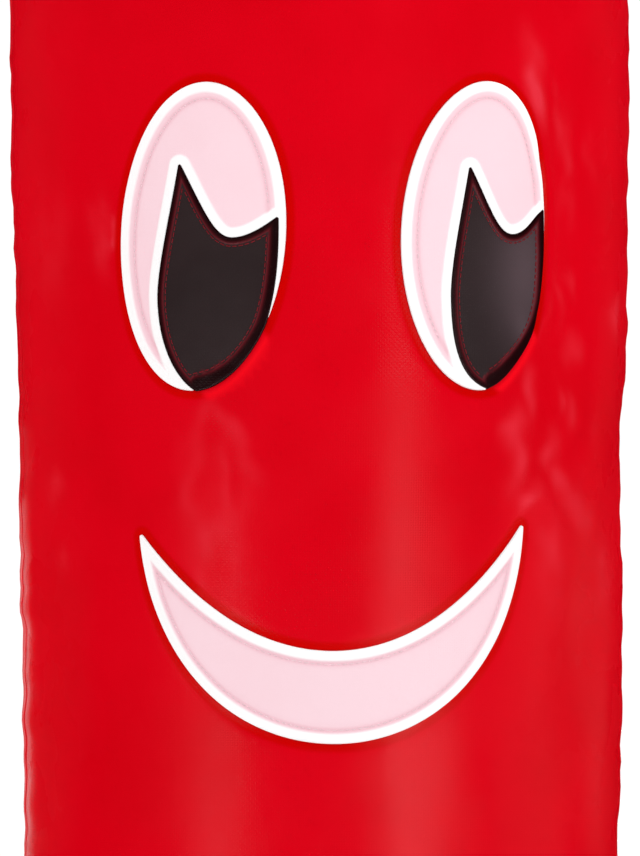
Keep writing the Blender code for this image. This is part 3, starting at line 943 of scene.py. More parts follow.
class ArmShape:
    """A filled sleeve's outer face, and the hole that it is set into."""

    STEP = 0.01
    # Spans along the arm over which wrinkles come in or go.
    OFF_ROOT = (0.002, 0.030)
    TO_WRIST = (ARM_END - 0.045, ARM_END - 0.025)
    BEND_START = (0.36, 0.46)
    BEND_END = (0.72, 0.80)
    ROOT_REACH = 0.036  # of the wrinkles that the armhole's seam gathers
    ROOT_PLAIN = 0.009
    PUCKER_REACH = 0.011
    SEAM_DEPTH = 0.0012
    SEAM_WIDTH = 0.0020
    BISECTIONS = 40

    def __init__(self, side: Side) -> None:
        """Lays out the sleeve's centre line.

        Args:
            side: The side that the arm is on.
        """
        self.side = side
        self.level = np.array([0.0, -side.sign, 0.0])
        self.alongs = np.arange(0, round(ARM_END / self.STEP) + 1) * self.STEP
        middles = (self.alongs[1:] + self.alongs[:-1]) / 2
        moves = self.STEP * self.direction(middles)
        start = np.array([[0.0, 0.0, SHOULDER_HEIGHT]])
        self.line = np.concatenate([start, start + np.cumsum(moves, axis=0)])
        seed = 40 + side.sign
        self.streaks = Ripples(ARM_GIRTH, 0.028, 0.090, rise=0.0007, seed=seed)
        self.crumples = Ripples(ARM_GIRTH, 0.012, 0.018, rise=0.00018, seed=seed + 5)
        self.root_wrinkles = Ripples(ARM_GIRTH, 0.0135, UNBROKEN, rise=0.0022, seed=seed + 10)
        self.bend_wrinkles = Ripples(ARM_GIRTH, 0.070, 0.013, rise=0.0016, seed=seed + 15)
        self.puckers = Ripples(ARM_GIRTH, UNBROKEN, 0.0062, rise=0.0009, seed=seed + 20)

    def direction(self, along: Points) -> Points:
        """The way the sleeve runs.

        Args:
            along: Distances along the arm.

        Returns:
            A unit vector for each.
        """
        bent = ease(ARM_STRAIGHT, ARM_END, along)
        slant = ARM_SLANT + (WRIST_SLANTS[self.side] - ARM_SLANT) * bent
        return np.column_stack([self.side.sign * np.cos(slant), 0 * slant, np.sin(slant)])

    def upper(self, direction: Points) -> Points:
        """The way to the sleeve's upper side."""
        return np.cross(self.level, direction)

    def centre(self, along: Points) -> Points:
        """Points on the sleeve's centre line."""
        return np.column_stack([np.interp(along, self.alongs, level) for level in self.line.T])

    def from_axis(self, points: Points) -> tuple[Points, Points]:
        """How far points on the tube are outside the hole's edge, and their turn round the arm.

        Args:
            points: The points.

        Returns:
            The distances, negative inside the hole, and the turns.
        """
        direction = self.direction(np.zeros(1))
        upper = self.upper(direction)[0]
        spoke = points - (0.0, 0.0, SHOULDER_HEIGHT)
        run = spoke @ direction[0]
        spoke = spoke - run[:, None] * direction
        gap = np.linalg.norm(spoke, axis=1) - ARM_RADIUS
        return np.where(run > 0, gap, 1.0), np.arctan2(spoke @ self.level, spoke @ upper)

    def hole(self, turns: Points, extra: float = 0.0) -> tuple[Points, Points]:
        """The curve where the sleeve meets the tube.

        Args:
            turns: Turns round the arm, from its upper side.
            extra: How far outside the curve the points are wanted.

        Returns:
            Flat places on the tube, and the distances along the arm.
        """
        direction = self.direction(np.zeros(1))
        spoke = np.cos(turns)[:, None] * self.upper(direction) + np.sin(turns)[:, None] * self.level
        low, high = np.full(len(turns), 0.02), np.full(len(turns), 0.45)
        for _ in range(self.BISECTIONS):
            middle = (low + high) / 2
            points = middle[:, None] * direction + (ARM_RADIUS + extra) * spoke
            inside = np.hypot(points[:, 0], points[:, 1]) < TUBE_RADIUS
            low, high = np.where(inside, middle, low), np.where(inside, high, middle)
        arc = TUBE_RADIUS * np.arctan2(points[:, 0], -points[:, 1])
        return np.column_stack([arc, points[:, 2] + SHOULDER_HEIGHT]), middle

    def place(self, flat: Points) -> Points:
        """Blows flat cloth up to the sleeve. The flat arc is the turn times the root's radius.

        Args:
            flat: Flat places.

        Returns:
            The places in space.
        """
        turn, along, out = flat[:, 0] / ARM_RADIUS, flat[:, 1], flat[:, 2]
        centre = self.centre(along)
        radius = along_rows(ARM_SECTIONS, along)[:, 0] + self._relief(turn, along) + out
        spoke = np.cos(turn)[:, None] * self.upper(self.direction(along))
        spoke = spoke + np.sin(turn)[:, None] * self.level
        return centre + radius[:, None] * spoke

    def _relief(self, turn: Points, along: Points) -> Points:
        """Buckles, wrinkles and the underarm seam.

        Args:
            turn: Turns round the arm.
            along: Distances along it.

        Returns:
            How far the cloth rises.
        """
        arc = turn * ARM_RADIUS
        rise = np.zeros(len(arc))
        for buckle in ARM_BUCKLES[self.side]:
            off = (np.degrees(turn) - buckle.turn + 180) % 360 - 180
            lengthways = hump(along - buckle.along, buckle.length)
            rise -= buckle.depth * lengthways * hump(off, buckle.spread)
        _, roots = self.hole(turn)
        from_root = along - roots
        loose = ease(*self.OFF_ROOT, from_root) * (1 - ease(*self.TO_WRIST, along))
        inner = np.clip(np.cos(turn), 0.0, 1.0) ** 1.5
        bend = inner * ease(*self.BEND_START, along) * (1 - ease(*self.BEND_END, along))
        rise += loose * (self.streaks.at(arc, along) + self.crumples.at(arc, along))
        rise += loose * bend * self.bend_wrinkles.at(arc, along + 0.25 * np.abs(arc))
        reach = hump(from_root, self.ROOT_REACH) * ease(0.0, self.ROOT_PLAIN, from_root)
        rise += self.root_wrinkles.at(arc, np.zeros(len(arc))) * reach
        off_seam = ARM_RADIUS * (math.pi - np.abs(turn))
        rise += loose * hump(off_seam, self.PUCKER_REACH) * self.puckers.at(0 * arc, along)
        return rise - self.SEAM_DEPTH * hump(off_seam, self.SEAM_WIDTH)


class Fold(NamedTuple):
    """A soft crease round the face, with painted sheen along its crest."""

    arc: float
    height: float
    slant: float  # in degrees from level
    length: float
    width: float
    sheen_and_wear: float  # share of the painted sheen colour on the crest

    def share(self, arc: Points, height: Points) -> Points:
        """The crease's strength at flat places."""
        side, up = around(arc - self.arc), height - self.height
        return ridge(side, up, self.slant, self.length, self.width)


# Streaks of painted sheen round the face, each on a low crease.
FACE_FOLDS = (
    # A fan that the mouth's right corner pulls up, and streaks beside the right eye.
    Fold(0.102, 2.480, 97, 0.011, 0.0041, 0.50),
    Fold(0.134, 2.472, 102, 0.009, 0.0042, 0.38),
    Fold(0.092, 2.449, 93, 0.017, 0.0070, 0.60),
    Fold(0.088, 2.462, 54, 0.008, 0.0050, 0.25),
    Fold(0.119, 2.450, 105, 0.008, 0.0073, 0.65),
    Fold(0.128, 2.437, 149, 0.011, 0.0044, 0.45),
    Fold(0.141, 2.426, 139, 0.013, 0.0078, 0.62),
    Fold(0.101, 2.426, 30, 0.008, 0.0036, 0.65),
    Fold(0.117, 2.399, 100, 0.025, 0.0099, 0.30),
    Fold(0.179, 2.388, 84, 0.019, 0.0115, 0.22),
    Fold(0.137, 2.502, 123, 0.006, 0.0058, 0.38),
    Fold(0.126, 2.528, 98, 0.011, 0.0029, 0.30),
    Fold(0.134, 2.536, 115, 0.007, 0.0030, 0.30),
    Fold(0.131, 2.591, 90, 0.022, 0.0041, 0.30),
    Fold(0.138, 2.571, 94, 0.010, 0.0043, 0.20),
    Fold(0.124, 2.478, 93, 0.007, 0.0029, 0.25),
    Fold(0.179, 2.518, 75, 0.008, 0.0093, 0.34),
    Fold(0.156, 2.457, 111, 0.008, 0.0051, 0.20),
    Fold(0.150, 2.599, 90, 0.013, 0.0037, 0.16),
    Fold(0.112, 2.517, 76, 0.011, 0.0026, 0.14),
    # A streak up from the right eye's outer side.
    Fold(0.1045, 2.629, 110, 0.012, 0.0042, 0.95),
    Fold(0.1050, 2.644, 92, 0.012, 0.0070, 0.42),
    Fold(0.1235, 2.618, 96, 0.013, 0.0040, 0.32),
    # Soft blotches over the mouth's left corner, and marks beside the left eye.
    Fold(-0.074, 2.469, 68, 0.011, 0.0051, 0.20),
    Fold(-0.078, 2.451, 79, 0.013, 0.0053, 0.22),
    Fold(-0.082, 2.426, 92, 0.014, 0.0053, 0.16),
    Fold(-0.059, 2.464, 126, 0.011, 0.0050, 0.25),
    Fold(-0.049, 2.445, 111, 0.012, 0.0050, 0.20),
    Fold(-0.063, 2.441, 95, 0.013, 0.0040, 0.27),
    Fold(-0.062, 2.418, 101, 0.017, 0.0060, 0.25),
    Fold(-0.051, 2.424, 80, 0.011, 0.0050, 0.17),
    Fold(-0.075, 2.408, 96, 0.012, 0.0084, 0.27),
    Fold(-0.054, 2.388, 95, 0.017, 0.0070, 0.20),
    Fold(-0.134, 2.558, 93, 0.019, 0.0054, 0.28),
    Fold(-0.126, 2.557, 87, 0.005, 0.0021, 0.70),
    Fold(-0.172, 2.553, 90, 0.022, 0.0152, 0.10),
    Fold(-0.176, 2.432, 69, 0.006, 0.0076, 0.20),
    Fold(-0.169, 2.396, 71, 0.006, 0.0059, 0.18),
    Fold(-0.071, 2.385, 122, 0.010, 0.0060, 0.16),
)
FOLD_RISE = 0.0010  # where the painted sheen is 1


class Roll(NamedTuple):
    """A roll of cloth along the right eye's outer side."""

    rise: float
    off: float
    width: float


class TubeSkin:
    """The filled tube's outer face, with its creases, ripples and puckers."""

    # A crest and a trough hide the eye's hem between them.
    EYE_ROLLS = (
        Roll(0.0015, -0.0040, 0.0036),
        Roll(0.0007, 0.0075, 0.0034),
        Roll(-0.0029, 0.0006, 0.0026),
    )
    EYE_ROLLS_END = (0.36, 0.78)  # turns from the eye's right, over which they die away
    OFF_CUFF = (CUFF_HEIGHT, 0.12)
    TO_BAND = (RIM_HEIGHT - 0.055, RIM_HEIGHT - HAIR_BAND)
    SHORT_REACH = 0.032  # of the puckers to each side of a side seam
    LONG_REACH = 0.030
    FOOT_REACH, FOOT_PLAIN = 0.040, 0.012  # of the gathers above the cuff
    RIM_REACH, RIM_PLAIN = 0.030, 0.010
    SEAM_DEPTH, SEAM_WIDTH = 0.0014, 0.0020
    CALM = (0.001, 0.028)  # away from an armhole's seam
    HOLE_REACH, HOLE_PLAIN = 0.034, 0.009
    HOLE_DEPTH, HOLE_WIDTH = 0.0012, 0.0022

    def __init__(self) -> None:
        """Sets up the waves in the cloth."""
        self.arms = {side: ArmShape(side) for side in Side}
        self.waves = (
            Ripples(GIRTH, 0.032, 0.150, rise=0.00035, seed=3),
            Ripples(GIRTH, 0.080, 0.320, rise=0.00080, seed=4),
            Ripples(GIRTH, 0.013, 0.024, rise=0.00022, seed=5),
        )
        self.drifts = [Ripples(GIRTH, 0.009, 0.009, rise=0.0040, seed=seed) for seed in (31, 32)]
        self.patches = Ripples(GIRTH, 0.0050, 0.0065, rise=0.60, seed=33)
        self.short_puckers = Ripples(GIRTH, GIRTH / 8, 0.0062, rise=0.00110, seed=11)
        self.long_puckers = Ripples(GIRTH, GIRTH / 8, 0.0330, rise=0.00090, seed=12)
        self.foot_gathers = Ripples(GIRTH, 0.011, UNBROKEN, rise=0.0013, seed=21)
        self.rim_gathers = Ripples(GIRTH, 0.013, UNBROKEN, rise=0.0008, seed=22)

    def place(self, flat: Points) -> Points:
        """Blows flat cloth up to the tube.

        Args:
            flat: Flat places.

        Returns:
            The places in space.
        """
        arc, height, out = flat.T
        section = along_rows(TUBE_SECTIONS, height)
        radius = section[:, 0] - self._crease_depth(arc, height) + self._relief(arc, height) + out
        turn = arc / TUBE_RADIUS
        return np.column_stack(
            [section[:, 1] + radius * np.sin(turn), -radius * np.cos(turn), height]
        )

    def fold_sheen(self, arc: Points, height: Points) -> Points:
        """How strongly the face's soft creases show, in relief and in painted sheen, with uneven
        edges, from 0 to 1.

        Args:
            arc: Arcs of flat places.
            height: Their heights.

        Returns:
            The wear at each place.
        """
        side, up = (drift.at(arc, height) for drift in self.drifts)
        total = sum(fold.sheen_and_wear * fold.share(arc + side, height + up) for fold in FACE_FOLDS)
        return np.clip(total * (1 + self.patches.at(arc, height)), 0.0, 1.0)

    def _crease_depth(self, arc: Points, height: Points) -> Points:
        """How far the skin is pushed in by its creases and side seams.

        Args:
            arc: Arcs of flat places.
            height: Their heights.

        Returns:
            The depths.
        """
        off_seam = np.abs(np.abs(around(arc)) - QUARTER)
        levels = (SHOULDER_HEIGHT, SHOULDER_HEIGHT + TUBE_RADIUS * math.tan(ARM_SLANT))
        shoulder = np.minimum(*(np.hypot(off_seam, height - level) for level in levels))
        loose = ease(*PLAIN_FOOT, height) * (1 - ease(*PLAIN_RIM, height))
        loose = loose * ease(*PLAIN_SHOULDER, shoulder)
        depth = SEAM_DRAW * hump(off_seam, SEAM_REACH)
        for crease in CREASES:
            angle, level, slant, length, width, deep = crease
            side = around(arc - math.radians(angle) * TUBE_RADIUS)
            depth += deep * ridge(side, height - level, slant, length, width)
        return loose * depth

    def _relief(self, arc: Points, height: Points) -> Points:
        """Everything finer than the creases.

        Args:
            arc: Arcs of flat places.
            height: Their heights.

        Returns:
            How far the cloth rises.
        """
        rise = sum(wave.at(arc, height) for wave in self.waves)
        rise += FOLD_RISE * self.fold_sheen(arc, height)
        rise += self._eye_tuck(arc, height)
        loose = ease(*self.OFF_CUFF, height) * (1 - ease(*self.TO_BAND, height))
        seam_side = np.sign(around(arc)) * QUARTER
        off_seam = np.abs(np.abs(around(arc)) - QUARTER)
        puckers = hump(off_seam, self.SHORT_REACH) * self.short_puckers.at(seam_side, height)
        puckers += hump(off_seam, self.LONG_REACH) * self.long_puckers.at(seam_side, height)
        above_foot = height - CUFF_HEIGHT
        gathers = self.foot_gathers.at(arc, 0 * arc)
        gathers = gathers * np.exp(-np.maximum(above_foot, 0) / self.FOOT_REACH)
        gathers *= ease(0.0, self.FOOT_PLAIN, above_foot)
        below_rim = RIM_HEIGHT - HAIR_BAND - height
        drawn = self.rim_gathers.at(arc, 0 * arc)
        drawn = drawn * np.exp(-np.maximum(below_rim, 0) / self.RIM_REACH)
        drawn *= ease(0.0, self.RIM_PLAIN, below_rim)
        groove = self.SEAM_DEPTH * hump(off_seam, self.SEAM_WIDTH)
        total = loose * (rise + puckers) + gathers + drawn - groove
        return self._round_the_arms(arc, height, total)

    def _eye_tuck(self, arc: Points, height: Points) -> Points:
        """The rolls along the right eye's outer side.

        Args:
            arc: Arcs of flat places.
            height: Their heights.

        Returns:
            How far the cloth rises.
        """
        eye = EYES[Side.RIGHT]
        lean = math.radians(eye.lean)
        side, up = around(arc - eye.arc), height - eye.height
        across = side * math.cos(lean) + up * math.sin(lean)
        up = up * math.cos(lean) - side * math.sin(lean)
        turn = np.arctan2(up / EYE_TALL, across / EYE_WIDTH)
        reach = np.hypot(EYE_WIDTH / 2 * np.cos(turn), EYE_TALL / 2 * np.sin(turn))
        off = np.hypot(across, up) - reach
        rise = sum(roll.rise * hump(off - roll.off, roll.width) for roll in self.EYE_ROLLS)
        return rise * (1 - ease(*self.EYE_ROLLS_END, np.abs(turn)))

    def _round_the_arms(self, arc: Points, height: Points, rise: Points) -> Points:
        """Calms the cloth at the armholes, and pulls wrinkles out of them.

        Args:
            arc: Arcs of flat places.
            height: Their heights.
            rise: How far the cloth rises there without the arms.

        Returns:
            How far it rises with them.
        """
        for arm in self.arms.values():
            gap, round_arm = arm.from_axis(plain_tube(arc, height))
            wrinkles = arm.root_wrinkles.at(round_arm * ARM_RADIUS, 0 * arc)
            reach = hump(gap, self.HOLE_REACH) * ease(0.0, self.HOLE_PLAIN, gap)
            groove = self.HOLE_DEPTH * hump(np.maximum(gap, 0.0), self.HOLE_WIDTH)
            rise = rise * ease(*self.CALM, gap) + wrinkles * reach - groove
        return rise


# --- The face, laid out flat ---

EYE_WIDTH = 0.0882
EYE_TALL = 0.1548
EYE_HEIGHT = FACE_TOP - 0.1222

PUPIL_FLUSH_TURN = math.radians(-33)
PUPIL_INSET = 0.0039
EYE_POINTS = 180
EYE_CORNER = 0.0006  # radius to which a turned hem can be folded
MOUTH_CORNER = 0.0011


@dataclass(frozen=True)
class EyeLayout:
    """One eye's outlines: the leaning oval, the white crescent and the pupil."""

    arc: float
    height: float
    lean: float  # degrees
    apex: Vector
    bulge: Vector
    scoop: Vector
    drop: float  # how far down the pupil's left side stays upright
    foot_pull: Vector  # from the foot, towards where the left side comes from
    foot_turn: float  # where the pupil's foot is on the oval, in degrees from its right
    tip_turn: float
    flat: float  # how much the pupil's lower right side is cut straighter than the oval

    # The handles of the pupil's curves, from the points that they leave or come to.
    APEX_DOWN = Vector((-0.0043, -0.0226))
    BULGE_UP = Vector((0, 0.0150))
    TIP_IN = Vector((-0.0066, -0.0048))
    SCOOP_RIGHT = Vector((0.0085, 0))
    SCOOP_LEFT = Vector((-0.0095, 0))
    APEX_RIGHT = Vector((0.0116, -0.0212))
    DRAWN_IN = 0.6  # power with which the right side comes in from the oval
    FLAT_REACH = 0.4  # turns over which it is cut straighter, and over which it is tucked
    TUCK_REACH = 0.55
    PAST_FLUSH = math.radians(2)

    def _edge(self, turn: float, inset: float = 0.0) -> Vector:
        """A point on the oval, with the edge moved in by the inset.

        Args:
            turn: The point's turn, before the oval leans.
            inset: How far in it is.

        Returns:
            The point, from the oval's middle.
        """
        across, up = EYE_WIDTH / 2 - inset, EYE_TALL / 2 - inset
        upright = Vector((across * math.cos(turn), up * math.sin(turn)))
        return turned(upright, math.radians(self.lean))

    def _left_side(self) -> list[Vector]:
        """The pupil's left side, from its apex by the bulge to its foot.

        Returns:
            Its points.
        """
        foot = self._edge(math.radians(self.foot_turn))
        upper = bezier(
            self.apex, self.apex + self.APEX_DOWN, self.bulge + self.BULGE_UP, self.bulge
        )
        upright = self.bulge - Vector((0, self.drop))
        return upper + bezier(self.bulge, upright, foot + self.foot_pull, foot)

    def _right_side(self, tuck: float = 0.0) -> list[Vector]:
        """Up the pupil's right side, on the oval at first and then drawn in from it.

        Args:
            tuck: How much further in it is wanted at the foot. Higher up it is a third of that.

        Returns:
            Its points.
        """
        count = 2 * CURVE_POINTS
        foot, tip = math.radians(self.foot_turn), math.radians(self.tip_turn)
        turns = [foot + (tip - foot) * index / count for index in range(count)]
        insets = [
            PUPIL_INSET * float(ease(PUPIL_FLUSH_TURN, tip, turn)) ** self.DRAWN_IN
            + self.flat * float(hump(turn - 0.5 * (foot + PUPIL_FLUSH_TURN), self.FLAT_REACH))
            + tuck * (1 + 2 * float(hump(turn - foot, self.TUCK_REACH))) / 3
            for turn in turns
        ]
        return [self._edge(turn, inset) for turn, inset in zip(turns, insets)]

    def _scoop(self) -> list[Vector]:
        """The scoop in the pupil's top, from its right tip to its apex.

        Returns:
            Its points.
        """
        tip = self._edge(math.radians(self.tip_turn), PUPIL_INSET)
        falling = bezier(tip, tip + self.TIP_IN, self.scoop + self.SCOOP_RIGHT, self.scoop)
        return falling + bezier(
            self.scoop, self.scoop + self.SCOOP_LEFT, self.apex + self.APEX_RIGHT, self.apex
        )

    def _moved(self, outline: Sequence[Vector]) -> list[Vector]:
        """An outline moved to the eye's place."""
        return [point + Vector((self.arc, self.height)) for point in outline]

    def oval(self) -> list[Vector]:
        """The whole eye."""
        turns = [2 * math.pi * index / EYE_POINTS for index in range(EYE_POINTS)]
        return self._moved([self._edge(turn) for turn in turns])

    def pupil(self, tuck: float = 0.0) -> list[Vector]:
        """The pupil, or with a tuck the outline that its stitches follow."""
        return self._moved(self._left_side() + self._right_side(tuck) + self._scoop())

    def white(self) -> list[Vector]:
        """The white: round the oval from where the pupil leaves it, and back along the pupil.

        Returns:
            Its outline.
        """
        span = 2 * math.pi + math.radians(self.foot_turn) - PUPIL_FLUSH_TURN
        turns = [PUPIL_FLUSH_TURN + span * index / EYE_POINTS for index in range(EYE_POINTS)]
        edge = [self._edge(turn) for turn in turns] + [self._edge(math.radians(self.foot_turn))]
        lowest = PUPIL_FLUSH_TURN + self.PAST_FLUSH
        right = [point for point in self._right_side()[::-1] if self._turn(point) > lowest]
        left = self._left_side()[:0:-1] + [self.apex]
        return self._moved(edge + left + self._scoop()[::-1] + right)

    def _turn(self, point: Vector) -> float:
        """The turn of a point round the leaning oval."""
        upright = turned(point, -math.radians(self.lean))
        return math.atan2(upright.y / EYE_TALL, upright.x / EYE_WIDTH)


EYES = {
    Side.LEFT: EyeLayout(
        arc=-0.0741,
        height=EYE_HEIGHT,
        lean=-5.2,
        apex=Vector((-0.0098, 0.0368)),
        bulge=Vector((-0.0226, -0.0310)),
        scoop=Vector((0.0174, -0.0009)),
        drop=0.0240,
        foot_pull=Vector((-0.0100, 0.0055)),
        foot_turn=-84,
        tip_turn=10.5,
        flat=0.0,
    ),
    Side.RIGHT: EyeLayout(
        arc=0.0707,
        height=EYE_HEIGHT + 0.0004,
        lean=-2.6,
        apex=Vector((-0.0082, 0.0350)),
        bulge=Vector((-0.0187, -0.0310)),
        scoop=Vector((0.0174, 0.0006)),
        drop=0.0322,
        foot_pull=Vector((-0.0125, 0.0030)),
        foot_turn=-81.5,
        tip_turn=12.0,
        flat=0.0032,
    ),
}


@dataclass(frozen=True)
class MouthLayout:
    """The crescent mouth."""

    half: float = 0.1028
    thick: float = 0.0465
    upper_rise: float = 0.0621
    lower_rise: float = 0.1144
    lean: float = math.radians(1.3)
    arc: float = -0.0040
    bottom: float = FACE_TOP - 0.3758
    taken: float = 0.995  # of an ellipse's half, by its lower edge

    def outline(self) -> list[Vector]:
        """From the left corner along the lower edge and back along the upper.

        Returns:
            The mouth's outline.
        """
        lower, upper = [], []
        count = 4 * CURVE_POINTS
        for index in range(count + 1):
            share = -math.cos(math.pi * index / count)
            low = self.lower_rise * (1 - math.sqrt(1 - share * share * self.taken))
            high = self.thick + self.upper_rise * share * share
            lower.append(Vector((self.half * share, min(low, high))))
            upper.append(Vector((self.half * share, high)))
        outline = [turned(point, self.lean) for point in lower + upper[-2:0:-1]]
        return [point + Vector((self.arc, self.bottom)) for point in outline]


# --- The tube's cloth ---

CLEAR = 0.3  # share of a step that is kept free of even points beside a ring of them


@dataclass(frozen=True)
class Seam:
    """The tones along a seam: painted shade where it draws the cloth down, and a rubbed crest beside
    it.
    """

    dip_shade_level: float = 0.6
    worn: float = 0.25
    width: float = 0.0016
    crest: float = 0.0042
    crest_width: float = 0.0014

    def press(self, off: Points) -> Points:
        """How far down the seam draws the cloth, and how much painted shade darkens it, at distances
        from the seam.
        """
        return self.dip_shade_level * hump(off, self.width)

    def sheen_and_wear(self, off: Points) -> Points:
        """How much it is rubbed there."""
        return self.worn * hump(off - self.crest, self.crest_width)


class SewnShape(NamedTuple):
    """The outline of what is sewn on, and those of its light and its dark piece, if it has two."""

    outline: Points
    light: Points | None = None
    dark: Points | None = None


@dataclass
class TubePanel:
    """The front or the back half of the tube, with the armholes' notches at its seams."""

    name: str
    node: str
    middle: float  # arc of the panel's middle
    column: float  # metres between columns
    patches: list[SewnShape] = field(default_factory=list)
    row: float = 0.0042
    hole_points: int = 110  # round each armhole

    HOLE_RINGS = (0.0, 0.0008, 0.0016, 0.0026, 0.0042)
    PATCH_RINGS = (0.0, 0.0006, 0.0013, 0.0022, 0.0035, 0.0052)
    FINE = 0.0021  # metres between the points where the face's creases are
    FINE_BOXES = (
        ((0.078, 2.350), (0.186, 2.600)),
        ((0.090, 2.602), (0.134, 2.655)),
        ((-0.092, 2.370), (-0.045, 2.480)),
    )
    SIDE_SEAM = Seam()
    PRESSED_IN = 0.00035
    NEAR = 0.02  # of an outline
    # The cloth dips from behind a patch to just outside it, and painted shade darkens it there.
    BEHIND, OUTSIDE = (-0.004, -0.001), (0.0030, 0.0052)
    # Beside a dark piece, so where it is this much nearer than the light one, a bright red line is
    # painted on as a highlight.
    NEARER = (0.0, 0.0034)
    PUFF, PUFF_WIDTH = 0.0036, 0.0022

    def build(self, skin: TubeSkin, dyer: Dyer) -> Object:
        """Cuts the panel and blows it up.

        Args:
            skin: The tube's and the arms' shapes.
            dyer: Gives the materials.

        Returns:
            The panel.
        """
        heights = np.linspace(0.0, RIM_HEIGHT, round(RIM_HEIGHT / self.row) + 1)
        arcs, levels = np.meshgrid(self.middle + seam_spaced(QUARTER, self.column), heights)
        grid = np.column_stack([arcs.ravel(), levels.ravel()])
        if self.patches:
            grid = self._refined(grid)
        keep = np.ones(len(grid), bool)
        points, borders = [], []
        for arm in skin.arms.values():
            keep &= self._gap(arm, grid) > self.HOLE_RINGS[-1] + CLEAR * self.row
            self._add_hole(arm, points, borders)
        for shape in self.patches:
            off = self._off(grid, shape.outline)
            clear = CLEAR * self.row
            keep &= ~((off > -clear) & (off < self.PATCH_RINGS[-1] + clear))
            self._add_outline(shape.outline, points, borders)
        points.append(grid[keep])
        arms = skin.arms.values()
        flat, faces = triangulate(
            np.concatenate(points),
            borders,
            lambda centres: np.all([self._gap(arm, centres) > 0.0 for arm in arms], axis=0),
        )
        flat = np.column_stack([flat, np.zeros(len(flat))])
        values = self._tones(skin, flat)
        flat[:, 2] = -self.PRESSED_IN * values["press"]
        cloth = Cloth(skin.place(flat), faces, flat, values)
        built = cloth.build(self.name, dyer.material(RED))
        pair_triangles(built)
        return built

    def _refined(self, grid: Points) -> Points:
        """The grid, with more points in the boxes.

        Args:
            grid: The even points.

        Returns:
            All the points.
        """
        for low, high in self.FINE_BOXES:
            inside = ((grid > low) & (grid < high)).all(1)
            grid = np.concatenate([grid[~inside], even_grid(low, high, self.FINE)])
        return grid

    def _gap(self, arm: ArmShape, flat: Points) -> Points:
        """How far flat places are outside an armhole."""
        return arm.from_axis(plain_tube(flat[:, 0], flat[:, 1]))[0]

    def _add_hole(self, arm: ArmShape, points: list[Points], borders: list[Points]) -> None:
        """Adds the rings of points round an armhole, from seam to seam.

        Args:
            arm: The arm that the hole is for.
            points: Takes the rings.
            borders: Takes the hole's edge, as the numbers of its points.
        """
        front = 1 if abs(self.middle) < QUARTER else -1
        towards_front = arm.side.sign * front
        turns = towards_front * np.linspace(0.0, math.pi, self.hole_points)
        for ring in self.HOLE_RINGS:
            flat, _ = arm.hole(turns, ring)
            flat[[0, -1], 0] = arm.side.sign * QUARTER
            flat[:, 0] = self.middle + around(flat[:, 0] - self.middle)
            if ring == 0.0:
                first = sum(map(len, points))
                borders.append(np.arange(first, first + len(flat)))
            points.append(flat)

    def _off(self, flat: Points, outline: Points) -> Points:
        """How far flat places are outside an outline, and 1 where they are nowhere near.

        Args:
            flat: Flat places.
            outline: The outline.

        Returns:
            The distances, negative inside it.
        """
        low, high = outline.min(0) - self.NEAR, outline.max(0) + self.NEAR
        made = np.ones(len(flat))
        close = ((flat[:, :2] > low) & (flat[:, :2] < high)).all(1)
        made[close] = -distance_in(flat[close, :2], outline)
        return made

    def _add_outline(self, outline: Points, points: list[Points], borders: list[Points]) -> None:
        """Adds the rings of points round a patch.

        Args:
            outline: The patch's outline.
            points: Takes the rings.
            borders: Takes the outline, as the numbers of its points.
        """
        first = sum(map(len, points))
        borders.append(np.append(np.arange(first, first + len(outline)), first))
        points.append(outline)
        for ring in self.PATCH_RINGS[1:]:
            points.append(ring_in(outline, -ring)[0])

    def _tones(self, skin: TubeSkin, flat: Points) -> dict[str, Points]:
        """Painted shade where stitching draws the cloth down, a painted highlight beside a dark
        piece, and painted sheen on the face's creases and rubbing along the seams.

        Args:
            skin: The tube's and the arms' shapes.
            flat: Flat places.

        Returns:
            The level of each tone at each place, from 0 to 1.
        """
        press, rim = np.zeros(len(flat)), np.zeros(len(flat))
        for shape in self.patches:
            off = self._off(flat, shape.outline)
            beside = 0.0
            if shape.dark is not None:
                off_dark = self._off(flat, shape.dark)
                beside = ease(*self.NEARER, self._off(flat, shape.light) - off_dark)
                # A bright red line beside the dark piece: a painted highlight.
                rim = np.maximum(rim, beside * hump(off_dark - self.PUFF, self.PUFF_WIDTH))
            # Painted shade where the cloth dips round a patch.
            dip_shade_level = (1 - ease(*self.OUTSIDE, off)) * ease(*self.BEHIND, off)
            press = np.maximum(press, dip_shade_level * (1 - beside))
        off_seam = np.abs(np.abs(around(flat[:, 0])) - QUARTER)
        # Painted sheen on the face's creases.
        worn = skin.fold_sheen(flat[:, 0], flat[:, 1])
        return {
            "rim": rim,
            "press": np.maximum(press, self.SIDE_SEAM.press(off_seam)),
            "worn": np.maximum(worn, self.SIDE_SEAM.sheen_and_wear(off_seam)),
        }


